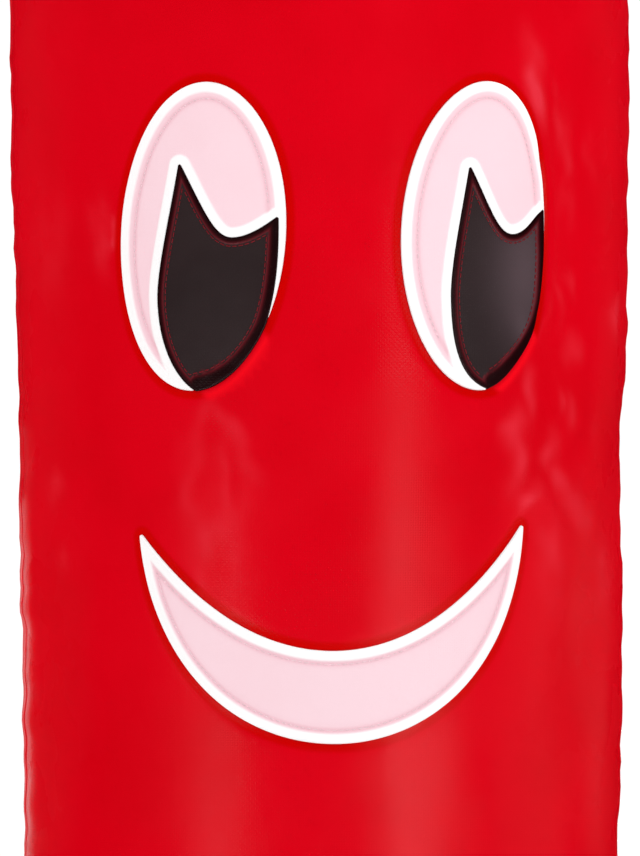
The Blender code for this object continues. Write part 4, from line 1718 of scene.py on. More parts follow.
@dataclass
class Sleeve:
    """One arm's sleeve, from the armhole to the wrist, with its seam under the arm."""

    side: Side
    column: float = 0.0046
    row: float = 0.0050

    NEAR_ROOT = (0.0, 0.0008, 0.0016, 0.0026, 0.0040, 0.0058, 0.0080, 0.0106)
    DRAWN = 0.0030  # how far from the root its cloth is drawn to the armhole's edge
    ARM_SEAM = Seam(worn=0.5)
    ROOT_SEAM = Seam(dip_shade_level=0.8, worn=0.5, crest=0.0045, crest_width=0.0016)

    def build(self, skin: TubeSkin, dyer: Dyer) -> Object:
        """Cuts the sleeve and blows it up.

        Args:
            skin: The tube's and the arms' shapes.
            dyer: Gives the materials.

        Returns:
            The sleeve.
        """
        arm = skin.arms[self.side]
        arcs = seam_spaced(math.pi * ARM_RADIUS, self.column)[:-1]
        turns = arcs / ARM_RADIUS
        hole, roots = arm.hole(turns)
        length = ARM_END - roots.mean()
        count = round((length - self.NEAR_ROOT[-1]) / self.row)
        near = np.array(self.NEAR_ROOT) / length
        shares = np.concatenate([near, np.linspace(near[-1], 1.0, count)[1:]])
        along = roots + shares[:, None] * (ARM_END - roots)
        flat = np.column_stack([np.tile(arcs, len(shares)), along.ravel(), 0 * along.ravel()])
        points = arm.place(flat).reshape(len(shares), len(arcs), 3)
        edge = skin.place(np.column_stack([hole, np.zeros(len(hole))]))
        pull = hump(along - roots, self.DRAWN)
        points = points + pull[:, :, None] * (edge - points[0])
        off_seam = ARM_RADIUS * (math.pi - np.abs(flat[:, 0] / ARM_RADIUS))
        off_root = (along - roots).ravel()
        # Painted shade along the seams, and rubbing beside them.
        values = {
            "press": np.maximum(self.ARM_SEAM.press(off_seam), self.ROOT_SEAM.press(off_root)),
            "worn": np.maximum(self.ARM_SEAM.sheen_and_wear(off_seam), self.ROOT_SEAM.sheen_and_wear(off_root)),
        }
        faces = grid_faces(len(shares), len(arcs), True)
        if self.side is Side.LEFT:
            faces = [face[::-1] for face in faces]
        cloth = Cloth(points.reshape(-1, 3), faces, flat, values)
        return cloth.build(f"sleeve_{self.side.value}", dyer.material(RED))


@dataclass(frozen=True)
class StitchRow:
    """Lockstitches along a line on the flat cloth."""

    length: float = 0.0027
    space: float = 0.0005
    radius: float = 0.00028
    sides: int = 6

    SHARES = (0.0, 0.14, 0.5, 0.86, 1.0)
    LIFTS = (-0.9, 0.25, 0.75, 0.25, -0.9)  # in radii, so the ends go down into the cloth
    GIRTHS = (0.5, 0.95, 1.0, 0.95, 0.5)

    def cloth(self, path: Points, out: Callable[[Points], Points], place: Placer) -> Cloth:
        """The stitches along a path.

        Args:
            path: Flat places, close together. A jump longer than a stitch parts the row.
            out: Gives the cloth's distance from the skin at flat places.
            place: Blows the flat stitches up to the shape.

        Returns:
            All the stitches as one mesh.
        """
        run = np.concatenate([[0.0], np.cumsum(np.linalg.norm(np.diff(path, axis=0), axis=1))])
        jumps = np.flatnonzero(np.diff(run) > self.length)
        pitch = self.length + self.space
        starts = np.arange(0.0, run[-1] - self.length, pitch)
        for jump in jumps:
            starts = starts[(starts + self.length < run[jump]) | (starts > run[jump + 1])]
        shares = np.array(self.SHARES)
        at = starts[:, None] + self.length * shares
        middle = np.stack([np.interp(at, run, path[:, axis]) for axis in (0, 1)], axis=2)
        along = middle[:, -1] - middle[:, 0]
        along /= np.linalg.norm(along, axis=1)[:, None]
        across = np.column_stack([-along[:, 1], along[:, 0]])
        turns = 2 * math.pi * np.arange(self.sides) / self.sides
        girths = self.radius * np.array(self.GIRTHS)
        side = girths[:, None] * np.cos(turns)
        lift = girths[:, None] * np.sin(turns) + self.radius * np.array(self.LIFTS)[:, None]
        flat = np.empty((len(starts), len(shares), self.sides, 3))
        flat[..., :2] = middle[:, :, None, :] + across[:, None, None, :] * side[None, :, :, None]
        levels = out(middle.reshape(-1, 2)).reshape(middle.shape[:2])
        flat[..., 2] = levels[:, :, None] + lift
        flat = flat.reshape(-1, 3)
        ring = grid_faces(len(shares), self.sides, True)
        each = len(shares) * self.sides
        caps = [tuple(range(self.sides))[::-1], tuple(range(each - self.sides, each))]
        faces = [
            tuple(first + corner for corner in face)
            for first in range(0, len(flat), each)
            for face in ring + caps
        ]
        return Cloth(place(flat), faces, flat)


@dataclass
class SewnBand:
    """A doubled band of cloth round an opening, with its ends lapped at one side."""

    low: float
    high: float
    radius: float  # the flat arc of one radian
    lap: float  # the arc where its ends meet
    thickness: float = 0.0016
    gap: float = SEWN_GAP
    columns: int = 260
    rounding: float = 0.0008
    stitch_inset: float = 0.0055  # from each edge to its row of stitches
    waves: float = 0.0004
    wave_length: float = 0.012

    FOLD_TURNS = np.radians(np.linspace(0, 90, 4))
    FACE_ROWS = 25
    LAP_DEPTH, LAP_WIDTH = 0.0007, 0.0022
    GROOVE, GROOVE_WIDTH = 0.0006, 0.0014
    # Painted shade along the rows of stitches, and rubbing along the folded edges.
    PRESSED, WORN, TONE_WIDTH = 0.7, 0.4, 0.0012
    PATH_POINTS = 400

    def cloth(self, place: Placer, seed: int) -> Cloth:
        """The band as a closed mesh.

        Args:
            place: Blows the flat band up to what carries it.
            seed: Of its waves.

        Returns:
            The mesh.
        """
        heights, outs = self._profile()
        girth = 2 * math.pi * self.radius
        arcs = self.lap + girth * np.arange(self.columns) / self.columns
        uneven = Ripples(girth, self.wave_length, UNBROKEN, self.waves, seed).at(arcs, 0 * arcs)
        off_lap = np.minimum(arcs - self.lap, girth - (arcs - self.lap))
        uneven -= self.LAP_DEPTH * hump(off_lap, self.LAP_WIDTH)
        puffy = np.where(outs > self.gap + 0.5 * self.thickness, 1.0, 0.0)
        flat = np.empty((len(heights), len(arcs), 3))
        flat[:, :, 0] = arcs
        flat[:, :, 1] = heights[:, None]
        flat[:, :, 2] = outs[:, None] + puffy[:, None] * uneven
        flat = flat.reshape(-1, 3)
        # One more row of faces joins the last row of points to the first.
        faces = np.array(grid_faces(len(heights) + 1, len(arcs), True)) % len(flat)
        faces = faces[:, ::-1].tolist()
        row_of = np.repeat(heights, len(arcs))
        off_edge = np.minimum(np.abs(row_of - self.low), np.abs(self.high - row_of))
        values = {
            "press": self.PRESSED * hump(off_edge - self.stitch_inset, self.TONE_WIDTH),
            "worn": self.WORN * hump(off_edge, self.TONE_WIDTH),
        }
        return Cloth(place(flat), faces, flat, values)

    def _profile(self) -> tuple[Points, Points]:
        """The band's section: up its outer face, over the fold and down its inner face.

        Returns:
            Heights, and distances from the skin.
        """
        face = np.linspace(self.low + self.rounding, self.high - self.rounding, self.FACE_ROWS)
        off_row = np.minimum(face - self.low, self.high - face) - self.stitch_inset
        bulge = self.thickness - self.GROOVE * hump(off_row, self.GROOVE_WIDTH)
        low_fold = self.low + self.rounding * (1 - np.sin(self.FOLD_TURNS))
        high_fold = self.high - self.rounding * (1 - np.sin(self.FOLD_TURNS))
        drop = self.thickness - self.rounding * (1 - np.cos(self.FOLD_TURNS))
        heights = np.concatenate([low_fold[:0:-1], face, high_fold[1:], [self.high, self.low]])
        outs = np.concatenate([drop[:0:-1], bulge, drop[1:], [0.0, 0.0]])
        return heights, outs + self.gap

    def stitches(self, place: Placer) -> Cloth:
        """The rows of stitches along its two edges.

        Args:
            place: Blows them up as it does the band.

        Returns:
            All the stitches as one mesh.
        """
        arcs = np.linspace(0.0, 2 * math.pi * self.radius, self.PATH_POINTS) + self.lap
        heights = (self.low + self.stitch_inset, self.high - self.stitch_inset)
        paths = [np.column_stack([arcs, np.full(len(arcs), height)]) for height in heights]
        return Cloth.joined([StitchRow().cloth(path, self._level, place) for path in paths])

    def _level(self, flat: Points) -> Points:
        """How far out the band is at flat places."""
        return np.full(len(flat), self.thickness)


# --- Patches ---


@dataclass
class Patch:
    """A piece of thin cloth with turned hems, stitched down onto the front."""

    name: str
    node: str
    slot: str
    outline: Points
    sewn: Points  # the outline that its stitches follow
    finish: Taffeta
    thread: SewingThread
    hem: float = 0.0053
    stitch_inset: float = 0.0068
    stitch_width: float = 0.0015  # of the stitch line's tone: painted shade of the groove on white cloth, the thread's red on black
    lift: float = 0.0  # over another patch
    # Creases whose crests take painted sheen.
    sheen_and_wear: tuple[Fold, ...] = ()
    seed: int = 1

    EDGE_RINGS = (0.00015, 0.00035, 0.0006, 0.0010)
    FIRST_RING = 0.0016
    RING_STEP = 0.0006
    PAST_STITCHES = 0.0025
    FINE = 0.0023  # metres between the points inside
    HEM_RISE = 0.00115
    FACE_RISE = 0.00075
    SKIN_GAP = 0.00005
    EDGE_ROUNDING = 0.0006
    HEM_END = (-0.0006, 0.0004)  # from the hem's width, where the doubled cloth ends
    STITCHED_FROM = 0.004
    GROOVE, GROOVE_WIDTH = 0.00028, 0.0008
    LOOSE_FROM = 0.014  # from the edge
    LOWEST = -0.0003  # that loose cloth dips
    PUCKER_FROM = 0.0015
    INSIDE = 0.9  # of the stitches' inset, which they keep from the edge

    def build(self, skin: TubeSkin, dyer: Dyer) -> list[Object]:
        """Cuts the patch, blows it up and sews it down.

        Args:
            skin: The tube's and the arms' shapes.
            dyer: Gives the materials.

        Returns:
            The patch, and its stitches.
        """
        innermost = self.stitch_inset + self.PAST_STITCHES
        insets = [*self.EDGE_RINGS, *np.arange(self.FIRST_RING, innermost, self.RING_STEP)]
        rings = [ring_in(self.outline, inset)[0] for inset in insets]
        grid = even_grid(self.outline.min(0), self.outline.max(0), self.FINE)
        grid = grid[distance_in(grid, self.outline) > insets[-1] + CLEAR * self.FINE]
        border = np.append(np.arange(len(self.outline)), 0)
        flat, faces = triangulate(
            np.concatenate([self.outline, *rings, grid]),
            [border],
            lambda centres: distance_in(centres, self.outline) > 0,
        )
        edge = np.maximum(distance_in(flat, self.outline), 0.0)
        seam = distance_in(flat, self.sewn)
        # The stitch line's tone: on white cloth it is painted shade of the stitched groove.
        stitch_tone = hump(seam - self.stitch_inset, self.stitch_width)
        values = {
            "hem": 1 - self._single(edge, seam),
            "stitch": stitch_tone * self._stitched(edge, seam),
            "worn": sum((fold.sheen_and_wear * fold.share(*flat.T) for fold in self.sheen_and_wear), 0 * edge),
        }
        solid = np.column_stack([flat, self._rise(flat, edge, seam)])
        cloth = Cloth(skin.place(solid), faces, solid, values)
        made = cloth.build(self.name, dyer.material(self.finish))
        pair_triangles(made)
        path, _ = ring_in(self.sewn, self.stitch_inset)
        path = path[distance_in(path, self.outline) > self.INSIDE * self.stitch_inset]
        row = StitchRow().cloth(path, self._level, skin.place)
        return [made, row.build(f"{self.name}_stitches", dyer.material(self.thread))]

    def _rise(self, flat: Points, edge: Points, seam: Points) -> Points:
        """How far the patch stands out: a doubled hem, a stitched groove and a single face.

        Args:
            flat: Flat places.
            edge: Their distances in from the patch's edge.
            seam: Their distances in from the outline that the stitches follow.

        Returns:
            The distances from the skin.
        """
        side = self.EDGE_ROUNDING
        rounded = np.sqrt(np.clip(1 - (1 - np.minimum(edge, side) / side) ** 2, 0.0, 1.0))
        rise = self.HEM_RISE * rounded
        rise -= (self.HEM_RISE - self.FACE_RISE) * self._single(edge, seam)
        groove = self.GROOVE * hump(seam - self.stitch_inset, self.GROOVE_WIDTH)
        rise -= groove * self._stitched(edge, seam)
        loose = Ripples(GIRTH, 0.011, 0.013, 0.00022, self.seed).at(flat[:, 0], flat[:, 1])
        rise += np.maximum(loose, self.LOWEST) * ease(self.hem, self.LOOSE_FROM, edge)
        pucker = Ripples(GIRTH, 0.0045, 0.0045, 0.00014, self.seed + 3).at(flat[:, 0], flat[:, 1])
        return rise + pucker * ease(0.0, self.PUCKER_FROM, edge) + self.lift + self.SKIN_GAP

    def _single(self, edge: Points, seam: Points) -> Points:
        """Where the cloth is single, past the hem."""
        start, end = self.HEM_END
        return ease(self.hem + start, self.hem + end, np.minimum(edge, seam))

    def _stitched(self, edge: Points, seam: Points) -> Points:
        """Where the stitches are: past a wide hem, or along a narrow one's turned edge."""
        return ease(self.STITCHED_FROM, self.hem, np.minimum(edge, seam))

    def _level(self, flat: Points) -> Points:
        """How far out the patch is at flat places."""
        return self._rise(flat, distance_in(flat, self.outline), distance_in(flat, self.sewn))


# --- Fringes ---


@dataclass(frozen=True)
class Fringe:
    """A band with strips of cloth that the air throws out. Angles are in degrees."""

    name: str
    node: str
    strips: int
    share: float  # of the way round that the strips take up
    band: float  # the band's height
    length: float
    spread: float  # how much longer or shorter a strip can be
    lean: float  # out from the band's axis at a strip's root
    curl: float  # the most that it leans at its tip
    swirl: float  # the most that it veers sideways
    seed: int

    STEPS = 6
    TAPER = 0.22
    THICKNESS = 0.0007
    ROWS_PER_STEP = 6
    ACROSS = (-1.0, -0.94, -0.62, -0.31, 0.0, 0.31, 0.62, 0.94, 1.0)
    HEM_FROM = 0.97  # of the half width, where the worn hem is
    HEM_WORN = 0.8
    ROOT_DEPTH = 0.008  # that a strip goes down into the band's fold
    ROOT_OUT = 0.0008
    CURLS = (0.55, 1.0)
    CURL_POWER = 1.4
    TWIST, TWIST_POWER = 26, 1.6
    BEATS, BEAT_RISE = (0.055, 0.085), 0.0045
    EDGE_BEATS, EDGE_BEAT_RISE = (0.030, 0.050), 0.0022
    EDGE_BEAT_START = (0.1, 0.8)
    FLATTER = 0.8  # how much of the cupping is gone at the tip
    SKEW, SKEW_POWER = 0.006, 8

    def strips_cloth(self, inner: float, matrix: Matrix) -> list[Cloth]:
        """All the strips, in their places.

        Args:
            inner: The band's inner radius.
            matrix: Takes the band's own frame, with +Z up its middle, to its place.

        Returns:
            One mesh for each strip.
        """
        chance = random.Random(self.seed)
        flutter = random.Random(self.seed + 100)
        pitch = 2 * math.pi / self.strips
        return [
            self._strip(index * pitch, pitch, inner, self._path(chance), flutter, matrix)
            for index in self._order()
        ]

    def _order(self) -> list[int]:
        """The strips' numbers in the order in which they are drawn, from the back round."""
        half = self.strips // 2
        return list(range(1 - half, self.strips - half + 1))

    def _path(self, chance: random.Random) -> list[tuple[float, ...]]:
        """The middle of one strip, as (out, up, sideways, lean) at each step from its root.

        Args:
            chance: Draws its length, curl and swirl.

        Returns:
            The steps, from inside the band to the tip.
        """
        length = self.length + self.spread * chance.uniform(-1, 1)
        curl = self.curl * chance.uniform(*self.CURLS)
        swirl = self.swirl * chance.uniform(-1, 1)
        out = up = sideways = 0.0
        upright = math.radians(self.lean)
        path = [(0.0, -self.ROOT_DEPTH, 0.0, upright), (0.0, 0.0, 0.0, upright)]
        for step in range(1, self.STEPS + 1):
            share = step / self.STEPS
            lean = math.radians(self.lean + (curl - self.lean) * share**self.CURL_POWER)
            veer = math.radians(swirl * share)
            move = length / self.STEPS
            out += move * math.sin(lean) * math.cos(veer)
            up += move * math.cos(lean) * math.cos(veer)
            sideways += move * math.sin(veer)
            path.append((out, up, sideways, lean))
        return path

    def _strip(
        self,
        angle: float,
        pitch: float,
        inner: float,
        path: list[tuple[float, ...]],
        flutter: random.Random,
        matrix: Matrix,
    ) -> Cloth:
        """One strip as a closed mesh, fluttering a little more towards its tip.

        Args:
            angle: Its turn round the band.
            pitch: The turn from strip to strip.
            inner: The band's inner radius.
            path: Its middle line.
            flutter: Draws its twist and waves.
            matrix: Takes the band's own frame to its place.

        Returns:
            The mesh.
        """
        rows = self.ROWS_PER_STEP * (len(path) - 1) + 1
        at = np.linspace(0, len(path) - 1, rows)
        nodes = [(float(index), *node) for index, node in enumerate(path)]
        out, up, sideways, lean = along_rows(nodes, at).T
        share = np.clip((at - 1) / (len(path) - 2), 0.0, 1.0)
        radius = inner + self.ROOT_OUT
        half = radius * math.tan(pitch * self.share / 2) * (1 - self.TAPER * share)
        across = np.array(self.ACROSS)
        outward = np.array([math.cos(angle), math.sin(angle), 0.0])
        sidewards = np.array([-math.sin(angle), math.cos(angle), 0.0])
        upward = np.array([0.0, 0.0, 1.0])
        middle = outward * (radius + out)[:, None] + upward * (self.band + up)[:, None]
        middle = middle + sidewards * sideways[:, None]
        normal = outward * np.cos(lean)[:, None] - upward * np.sin(lean)[:, None]
        twist = math.radians(flutter.uniform(-self.TWIST, self.TWIST)) * share**self.TWIST_POWER
        side = sidewards * np.cos(twist)[:, None] + normal * np.sin(twist)[:, None]
        length = self.length * share
        beat, phase = flutter.uniform(*self.BEATS), flutter.uniform(0, 2 * math.pi)
        edge_beat, edge_phase = flutter.uniform(*self.EDGE_BEATS), flutter.uniform(0, 2 * math.pi)
        wave = self.BEAT_RISE * share * np.sin(2 * math.pi * length / beat + phase)
        edge_wave = self.EDGE_BEAT_RISE * ease(*self.EDGE_BEAT_START, share)
        edge_wave = edge_wave * np.sin(2 * math.pi * length / edge_beat + edge_phase)
        cupped = -(half**2) / (2 * radius) * (1 - self.FLATTER * share)
        rise = wave[:, None] + edge_wave[:, None] * across * np.abs(across)
        rise = rise + cupped[:, None] * across**2
        tip = flutter.uniform(-self.SKEW, self.SKEW) * share**self.SKEW_POWER
        slide = np.gradient(middle, axis=0)
        slide /= np.linalg.norm(slide, axis=1)[:, None]
        grid = middle[:, None, :] + side[:, None, :] * (half[:, None] * across)[:, :, None]
        grid = grid + normal[:, None, :] * rise[:, :, None]
        grid = grid + slide[:, None, :] * (tip[:, None] * across)[:, :, None]
        grid = grid @ np.array(matrix.to_3x3()).T + np.array(matrix.translation)
        points, faces = thick_grid(grid, self.THICKNESS)
        flat = np.stack(np.broadcast_arrays(half[:, None] * across, length[:, None], 0.0), axis=2)
        flat = np.tile(flat.reshape(-1, 3), (2, 1))
        worn = np.tile(self.HEM_WORN * (np.abs(across) > self.HEM_FROM), 2 * rows)
        return Cloth(points, faces, flat, {"worn": worn, "press": 0.0 * worn})


HAIR = Fringe("hair_strips", "hair_fringe", 18, 0.72, HAIR_BAND, 0.270, 0.035, 4, 74, 16, seed=12)
HAND = Fringe("finger_strips_left", "hand_fringe_left", 8, 0.74, 0.026, 0.190, 0.025, 3, 40, 12, 13)
HANDS = {
    Side.LEFT: HAND,
    Side.RIGHT: replace(HAND, name="finger_strips_right", node="hand_fringe_right", seed=38),
}


# --- Sub-assemblies ---


def seat(built: Object, node: str | None = None, slot: str | None = None) -> Object:
    """Makes a piece ride on the part's only body, in place of a solid.

    Args:
        built: The piece.
        node: The solid that it takes the place of, if it does.
        slot: Not used.

    Returns:
        The same piece.
    """
    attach(built, "root")
    if node:
        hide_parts(node)
    log.info("%s: %d faces", built.name, len(built.data.polygons))
    return built


@dataclass
class SubAssembly:
    """Some of the dancer's pieces, which are built and seated together."""

    skin: TubeSkin
    dyer: Dyer

    def build(self) -> None:
        """Builds and seats the pieces."""
        raise NotImplementedError

    def dress(
        self,
        fringe: Fringe,
        inner: float,
        matrix: Matrix,
        place: Placer,
        foot: float,
        radius: float,
        columns: int,
    ) -> None:
        """Builds and seats a fringe's band, strips and stitches.

        Args:
            fringe: The fringe.
            inner: The band's inner radius.
            matrix: The strips' place.
            place: Blows the flat band up to what carries it.
            foot: The band's lower edge, up what carries it.
            radius: The flat arc of one radian.
            columns: The band's points round.
        """
        band = SewnBand(foot, foot + fringe.band, radius, -math.pi * radius, columns=columns)
        parts = [band.cloth(place, fringe.seed)] + fringe.strips_cloth(inner, matrix)
        cloth, thread = self.dyer.material(RED), self.dyer.material(RED_THREAD)
        piece = seat(Cloth.joined(parts).build(fringe.name, cloth), fringe.node, "red_nylon")
        stitches = seat(band.stitches(place).build(f"{fringe.name}_stitches", thread))


@dataclass
class Body(SubAssembly):
    """The tube's two panels and the cuff at its foot."""

    front_column: float = 0.0042
    back_column: float = 0.0060
    outline_step: float = 0.0016
    cuff_seed: int = 31

    def build(self) -> None:
        """Builds and seats the panels and the cuff."""
        step = self.outline_step
        patches = []
        for eye in EYES.values():
            parts = (eye.oval(), eye.white(), eye.pupil())
            patches.append(SewnShape(*(even_outline(part, step, 0.0) for part in parts)))
        patches.append(SewnShape(even_outline(MouthLayout().outline(), step, MOUTH_CORNER)))
        panels = (
            TubePanel("front_cloth", "front_panel", 0.0, self.front_column, patches),
            TubePanel("back_cloth", "back_panel", 2 * QUARTER, self.back_column),
        )
        for panel in panels:
            piece = seat(panel.build(self.skin, self.dyer), panel.node, "red_nylon")
        cuff = SewnBand(0.0, CUFF_HEIGHT, TUBE_RADIUS, 2 * QUARTER)
        place = self.skin.place
        cloth, thread = self.dyer.material(RED), self.dyer.material(RED_THREAD)
        piece = cuff.cloth(place, self.cuff_seed).build("cuff_band", cloth)
        seat(piece, "base_cuff", "red_nylon")
        stitches = seat(cuff.stitches(place).build("cuff_stitches", thread))


@dataclass
class Arms(SubAssembly):
    """The two sleeves, with the strips that stand for fingers at their wrists."""

    root_slant: float = 0.02
    band_columns: int = 160

    def build(self) -> None:
        """Builds and seats the sleeves and the wrists' strips."""
        for side in Side:
            built = Sleeve(side).build(self.skin, self.dyer)
            sleeve = seat(built, f"arm_{side.value}", "red_nylon")
            length = ARM_END - self.skin.arms[side].hole(np.zeros(1))[1][0]
            self._hand(side)

    def _hand(self, side: Side) -> None:
        """One wrist's band and strips.

        Args:
            side: The arm's side.
        """
        fringe, arm = HANDS[side], self.skin.arms[side]
        foot = ARM_END - fringe.band
        wrist = float(along_rows(ARM_SECTIONS, np.array([ARM_END]))[0, 0])
        direction = arm.direction(np.array([foot]))
        upper = arm.upper(direction)[0]
        turn = Matrix((upper, arm.level, direction[0])).transposed().to_4x4()
        matrix = Matrix.Translation(arm.centre(np.array([foot]))[0].tolist()) @ turn
        columns, inner = self.band_columns, wrist + SEWN_GAP
        self.dress(fringe, inner, matrix, arm.place, foot, ARM_RADIUS, columns)


@dataclass
class Hair(SubAssembly):
    """The strips round the open top of the head."""

    band_columns: int = 260

    def build(self) -> None:
        """Builds and seats the hair."""
        foot = RIM_HEIGHT - HAIR.band
        widest = float(along_rows(TUBE_SECTIONS, np.array([foot, RIM_HEIGHT]))[:, 0].max())
        matrix = Matrix.Translation((0, 0, foot))
        columns, inner = self.band_columns, widest + SEWN_GAP
        self.dress(HAIR, inner, matrix, self.skin.place, foot, TUBE_RADIUS, columns)


# Painted sheen on the right pupil's right side.
PUPIL_SHEEN = {
    Side.LEFT: (),
    Side.RIGHT: (
        Fold(0.098, 2.541, 90, 0.036, 0.022, 0.85),
        Fold(0.097, 2.508, 120, 0.014, 0.007, 0.35),
    ),
}


@dataclass
class Face(SubAssembly):
    """The eyes' whites and pupils, and the mouth."""

    step: float = 0.0011  # metres between the points round a patch
    pupil_lap: float = 0.0004  # how far the pupil lies over the white
    pupil_lift: float = 0.00025
    pupil_tuck: float = 0.0045  # how much wider the hem is at the pupil's foot
    square: float = 0.001  # the side of the squares that measure a patch

    def build(self) -> None:
        """Builds and seats the five patches."""
        for index, (side, eye) in enumerate(EYES.items()):
            white = Patch(
                f"eye_white_cloth_{side.value}",
                f"eye_white_{side.value}",
                "white_nylon",
                even_outline(eye.white(), self.step, EYE_CORNER),
                even_outline(eye.oval(), self.step, 0.0),
                WHITE,
                PINK_THREAD,
                stitch_inset=0.0084,
                seed=50 + index,
            )
            seam = even_outline(eye.pupil(self.pupil_tuck), self.step, 0.0)
            pupil = Patch(
                f"pupil_cloth_{side.value}",
                f"pupil_{side.value}",
                "black_nylon",
                ring_in(even_outline(eye.pupil(), self.step, EYE_CORNER), -self.pupil_lap)[0],
                ring_in(seam, -self.pupil_lap)[0],
                BLACK,
                DARK_RED_THREAD,
                hem=0.0036,
                stitch_inset=0.0046,
                stitch_width=0.0016,
                lift=self.pupil_lift,
                sheen_and_wear=PUPIL_SHEEN[side],
                seed=60 + index,
            )
            self._sew(white)
            self._sew(pupil)
        edge = even_outline(MouthLayout().outline(), self.step, MOUTH_CORNER)
        mouth = Patch(
            "mouth_cloth", "mouth", "white_nylon", edge, edge, WHITE, PINK_THREAD, seed=70
        )
        self._sew(mouth)

    def _sew(self, patch: Patch) -> None:
        """Builds and seats one patch and its stitches.

        Args:
            patch: The patch.
        """
        piece, stitches = patch.build(self.skin, self.dyer)
        seat(piece, patch.node, patch.slot)
        seat(stitches)
        size = patch.outline.max(0) - patch.outline.min(0)
        grid = even_grid((0, 0), size, self.square) + patch.outline.min(0)
        area = float((distance_in(grid, patch.outline) > 0).sum()) * self.square**2
        size = size.tolist()


# --- The studio ---


@dataclass(frozen=True)
class SoftBox:
    """A flat light beside the tube, upright and turned to it, and hidden from the camera.

    Its shine shows where the skin faces halfway between the light and the camera, so the light is
    placed by the azimuth of that skin, from -Y to +X, and by its distance from it.
    """

    name: str
    skin: float
    reach: float
    low: float
    high: float
    width: float
    radiance: float
    shine: bool = True  # it only shines on the cloth's gloss, and otherwise only lights its colour

    def build(self, camera_azimuth: float) -> None:
        """Adds the light.

        Args:
            camera_azimuth: The azimuth of the camera.
        """
        lamp = bpy.data.lights.new(self.name, "AREA")
        lamp.shape = "RECTANGLE"
        lamp.size, lamp.size_y = self.width, self.high - self.low
        lamp.energy = self.radiance * math.pi * lamp.size * lamp.size_y
        built = bpy.data.objects.new(self.name, lamp)
        skin, towards = math.radians(self.skin), math.radians(2 * self.skin - camera_azimuth)
        on_skin = TUBE_RADIUS * Vector((math.sin(skin), -math.cos(skin), 0))
        away = self.reach * Vector((math.sin(towards), -math.cos(towards), 0))
        built.location = on_skin + away + Vector((0, 0, (self.low + self.high) / 2))
        built.rotation_euler = (math.radians(90), 0, towards)
        built.visible_camera = False
        built.visible_diffuse = not self.shine
        built.visible_glossy = self.shine
        bpy.context.scene.collection.objects.link(built)


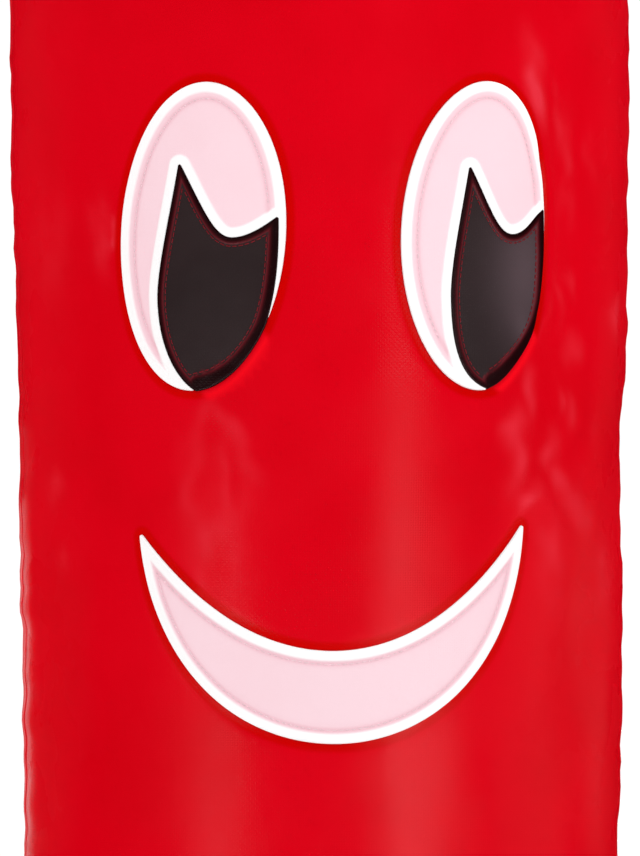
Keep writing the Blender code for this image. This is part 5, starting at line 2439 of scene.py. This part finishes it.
@dataclass(frozen=True)
class Studio:
    """A white studio: even light from all round, soft boxes for the shine and a pale floor."""

    lights: tuple[SoftBox, ...] = (
        SoftBox("strip_right", 13.3, 0.45, 0.10, 2.33, 0.245, 74.0),
        SoftBox("strip_right_high", 10.6, 0.45, 2.33, 2.505, 0.080, 95.0),
        SoftBox("strip_right_top", 10.6, 0.45, 2.52, 2.60, 0.100, 12.0),
        SoftBox("strip_left", -24.9, 0.45, 0.10, 2.355, 0.145, 64.0),
        SoftBox("panel_right", 40.0, 0.80, 0.20, 1.85, 0.45, 6.5),
        SoftBox("face_right", 39.0, 0.19, 2.22, 2.41, 0.150, 7.0),
        SoftBox("face_side", 56.0, 0.19, 2.22, 2.41, 0.120, 1.8),
        SoftBox("panel_left_back", -86.0, 0.70, 0.20, 2.42, 0.10, 2.9),
        SoftBox("strip_back", 86.5, 0.60, 0.10, 2.30, 0.12, 90.0),
        SoftBox("key_right", 32.0, 0.40, 2.62, 2.92, 0.40, 0.42, shine=False),
        SoftBox("key_front", 4.0, 0.55, 2.62, 2.95, 0.50, 0.85, shine=False),
        SoftBox("rim_left", -67.5, 0.90, 1.20, 2.30, 0.50, 1.7, shine=False),
        SoftBox("rim_right", 62.5, 0.90, 1.20, 2.60, 0.50, 0.35, shine=False),
    )
    dome: float = 1.05
    floor_half: float = 60.0
    floor_gap: float = 0.0002
    camera_azimuth: float = -4.9
    camera_distance: float = 10.0
    camera_target: tuple[float, float, float] = (0.0010, 0.0, 2.462)
    view_height: float = 0.4340  # metres that the frame covers at the target
    sensor: float = 36.0

    def build(self, dyer: Dyer) -> None:
        """Builds the floor, the lights and the camera.

        Args:
            dyer: Gives the materials.
        """
        self._floor(dyer)
        self._dome()
        for light in self.lights:
            light.build(self.camera_azimuth)
        self._camera()
        bpy.context.scene.view_settings.view_transform = "Standard"

    def _floor(self, dyer: Dyer) -> None:
        """The floor, just under the foot.

        Args:
            dyer: Gives the material.
        """
        shape = bmesh.new()
        bmesh.ops.create_grid(shape, x_segments=2, y_segments=2, size=self.floor_half)
        mesh = bpy.data.meshes.new("studio_floor")
        shape.to_mesh(mesh)
        shape.free()
        mesh.materials.append(dyer.material(PaintedFloor()))
        floor = bpy.data.objects.new("studio_floor", mesh)
        floor.location.z = -self.floor_gap
        floor.visible_glossy = False
        bpy.context.scene.collection.objects.link(floor)

    def _dome(self) -> None:
        """White light from everywhere, kept out of the gloss, where the soft boxes alone show."""
        world = bpy.data.worlds.new("white_studio")
        world.use_nodes = True
        tree = world.node_tree
        tree.nodes.clear()
        light = {"Color": (1, 1, 1, 1), "Strength": self.dome}
        glow = add_node(tree, "ShaderNodeBackground", light)
        add_node(tree, "ShaderNodeOutputWorld", {"Surface": glow.outputs[0]})
        world.cycles_visibility.glossy = False
        bpy.context.scene.world = world

    def _camera(self) -> None:
        """A long lens, level with the face and a little to its left."""
        lens = bpy.data.cameras.new("camera")
        lens.sensor_fit = "VERTICAL"
        lens.sensor_height = self.sensor
        lens.lens = self.sensor * self.camera_distance / self.view_height
        lens.clip_start, lens.clip_end = 0.1, 400.0
        camera = bpy.data.objects.new("camera", lens)
        angle = math.radians(self.camera_azimuth)
        back = Vector((math.sin(angle), -math.cos(angle), 0))
        camera.location = Vector(self.camera_target) + self.camera_distance * back
        camera.rotation_euler = (math.radians(90), 0, angle)
        bpy.context.scene.collection.objects.link(camera)
        bpy.context.scene.camera = camera


def main() -> None:
    """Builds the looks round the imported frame."""
    logging.basicConfig(level=logging.INFO, format="%(name)s: %(message)s")
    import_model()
    dyer = Dyer()
    skin = TubeSkin()
    for assembly in (Body, Arms, Hair, Face):
        assembly(skin, dyer).build()
        log.info("%s is dressed", assembly.__name__)
    Studio().build(dyer)


if __name__ == "__main__":
    main()
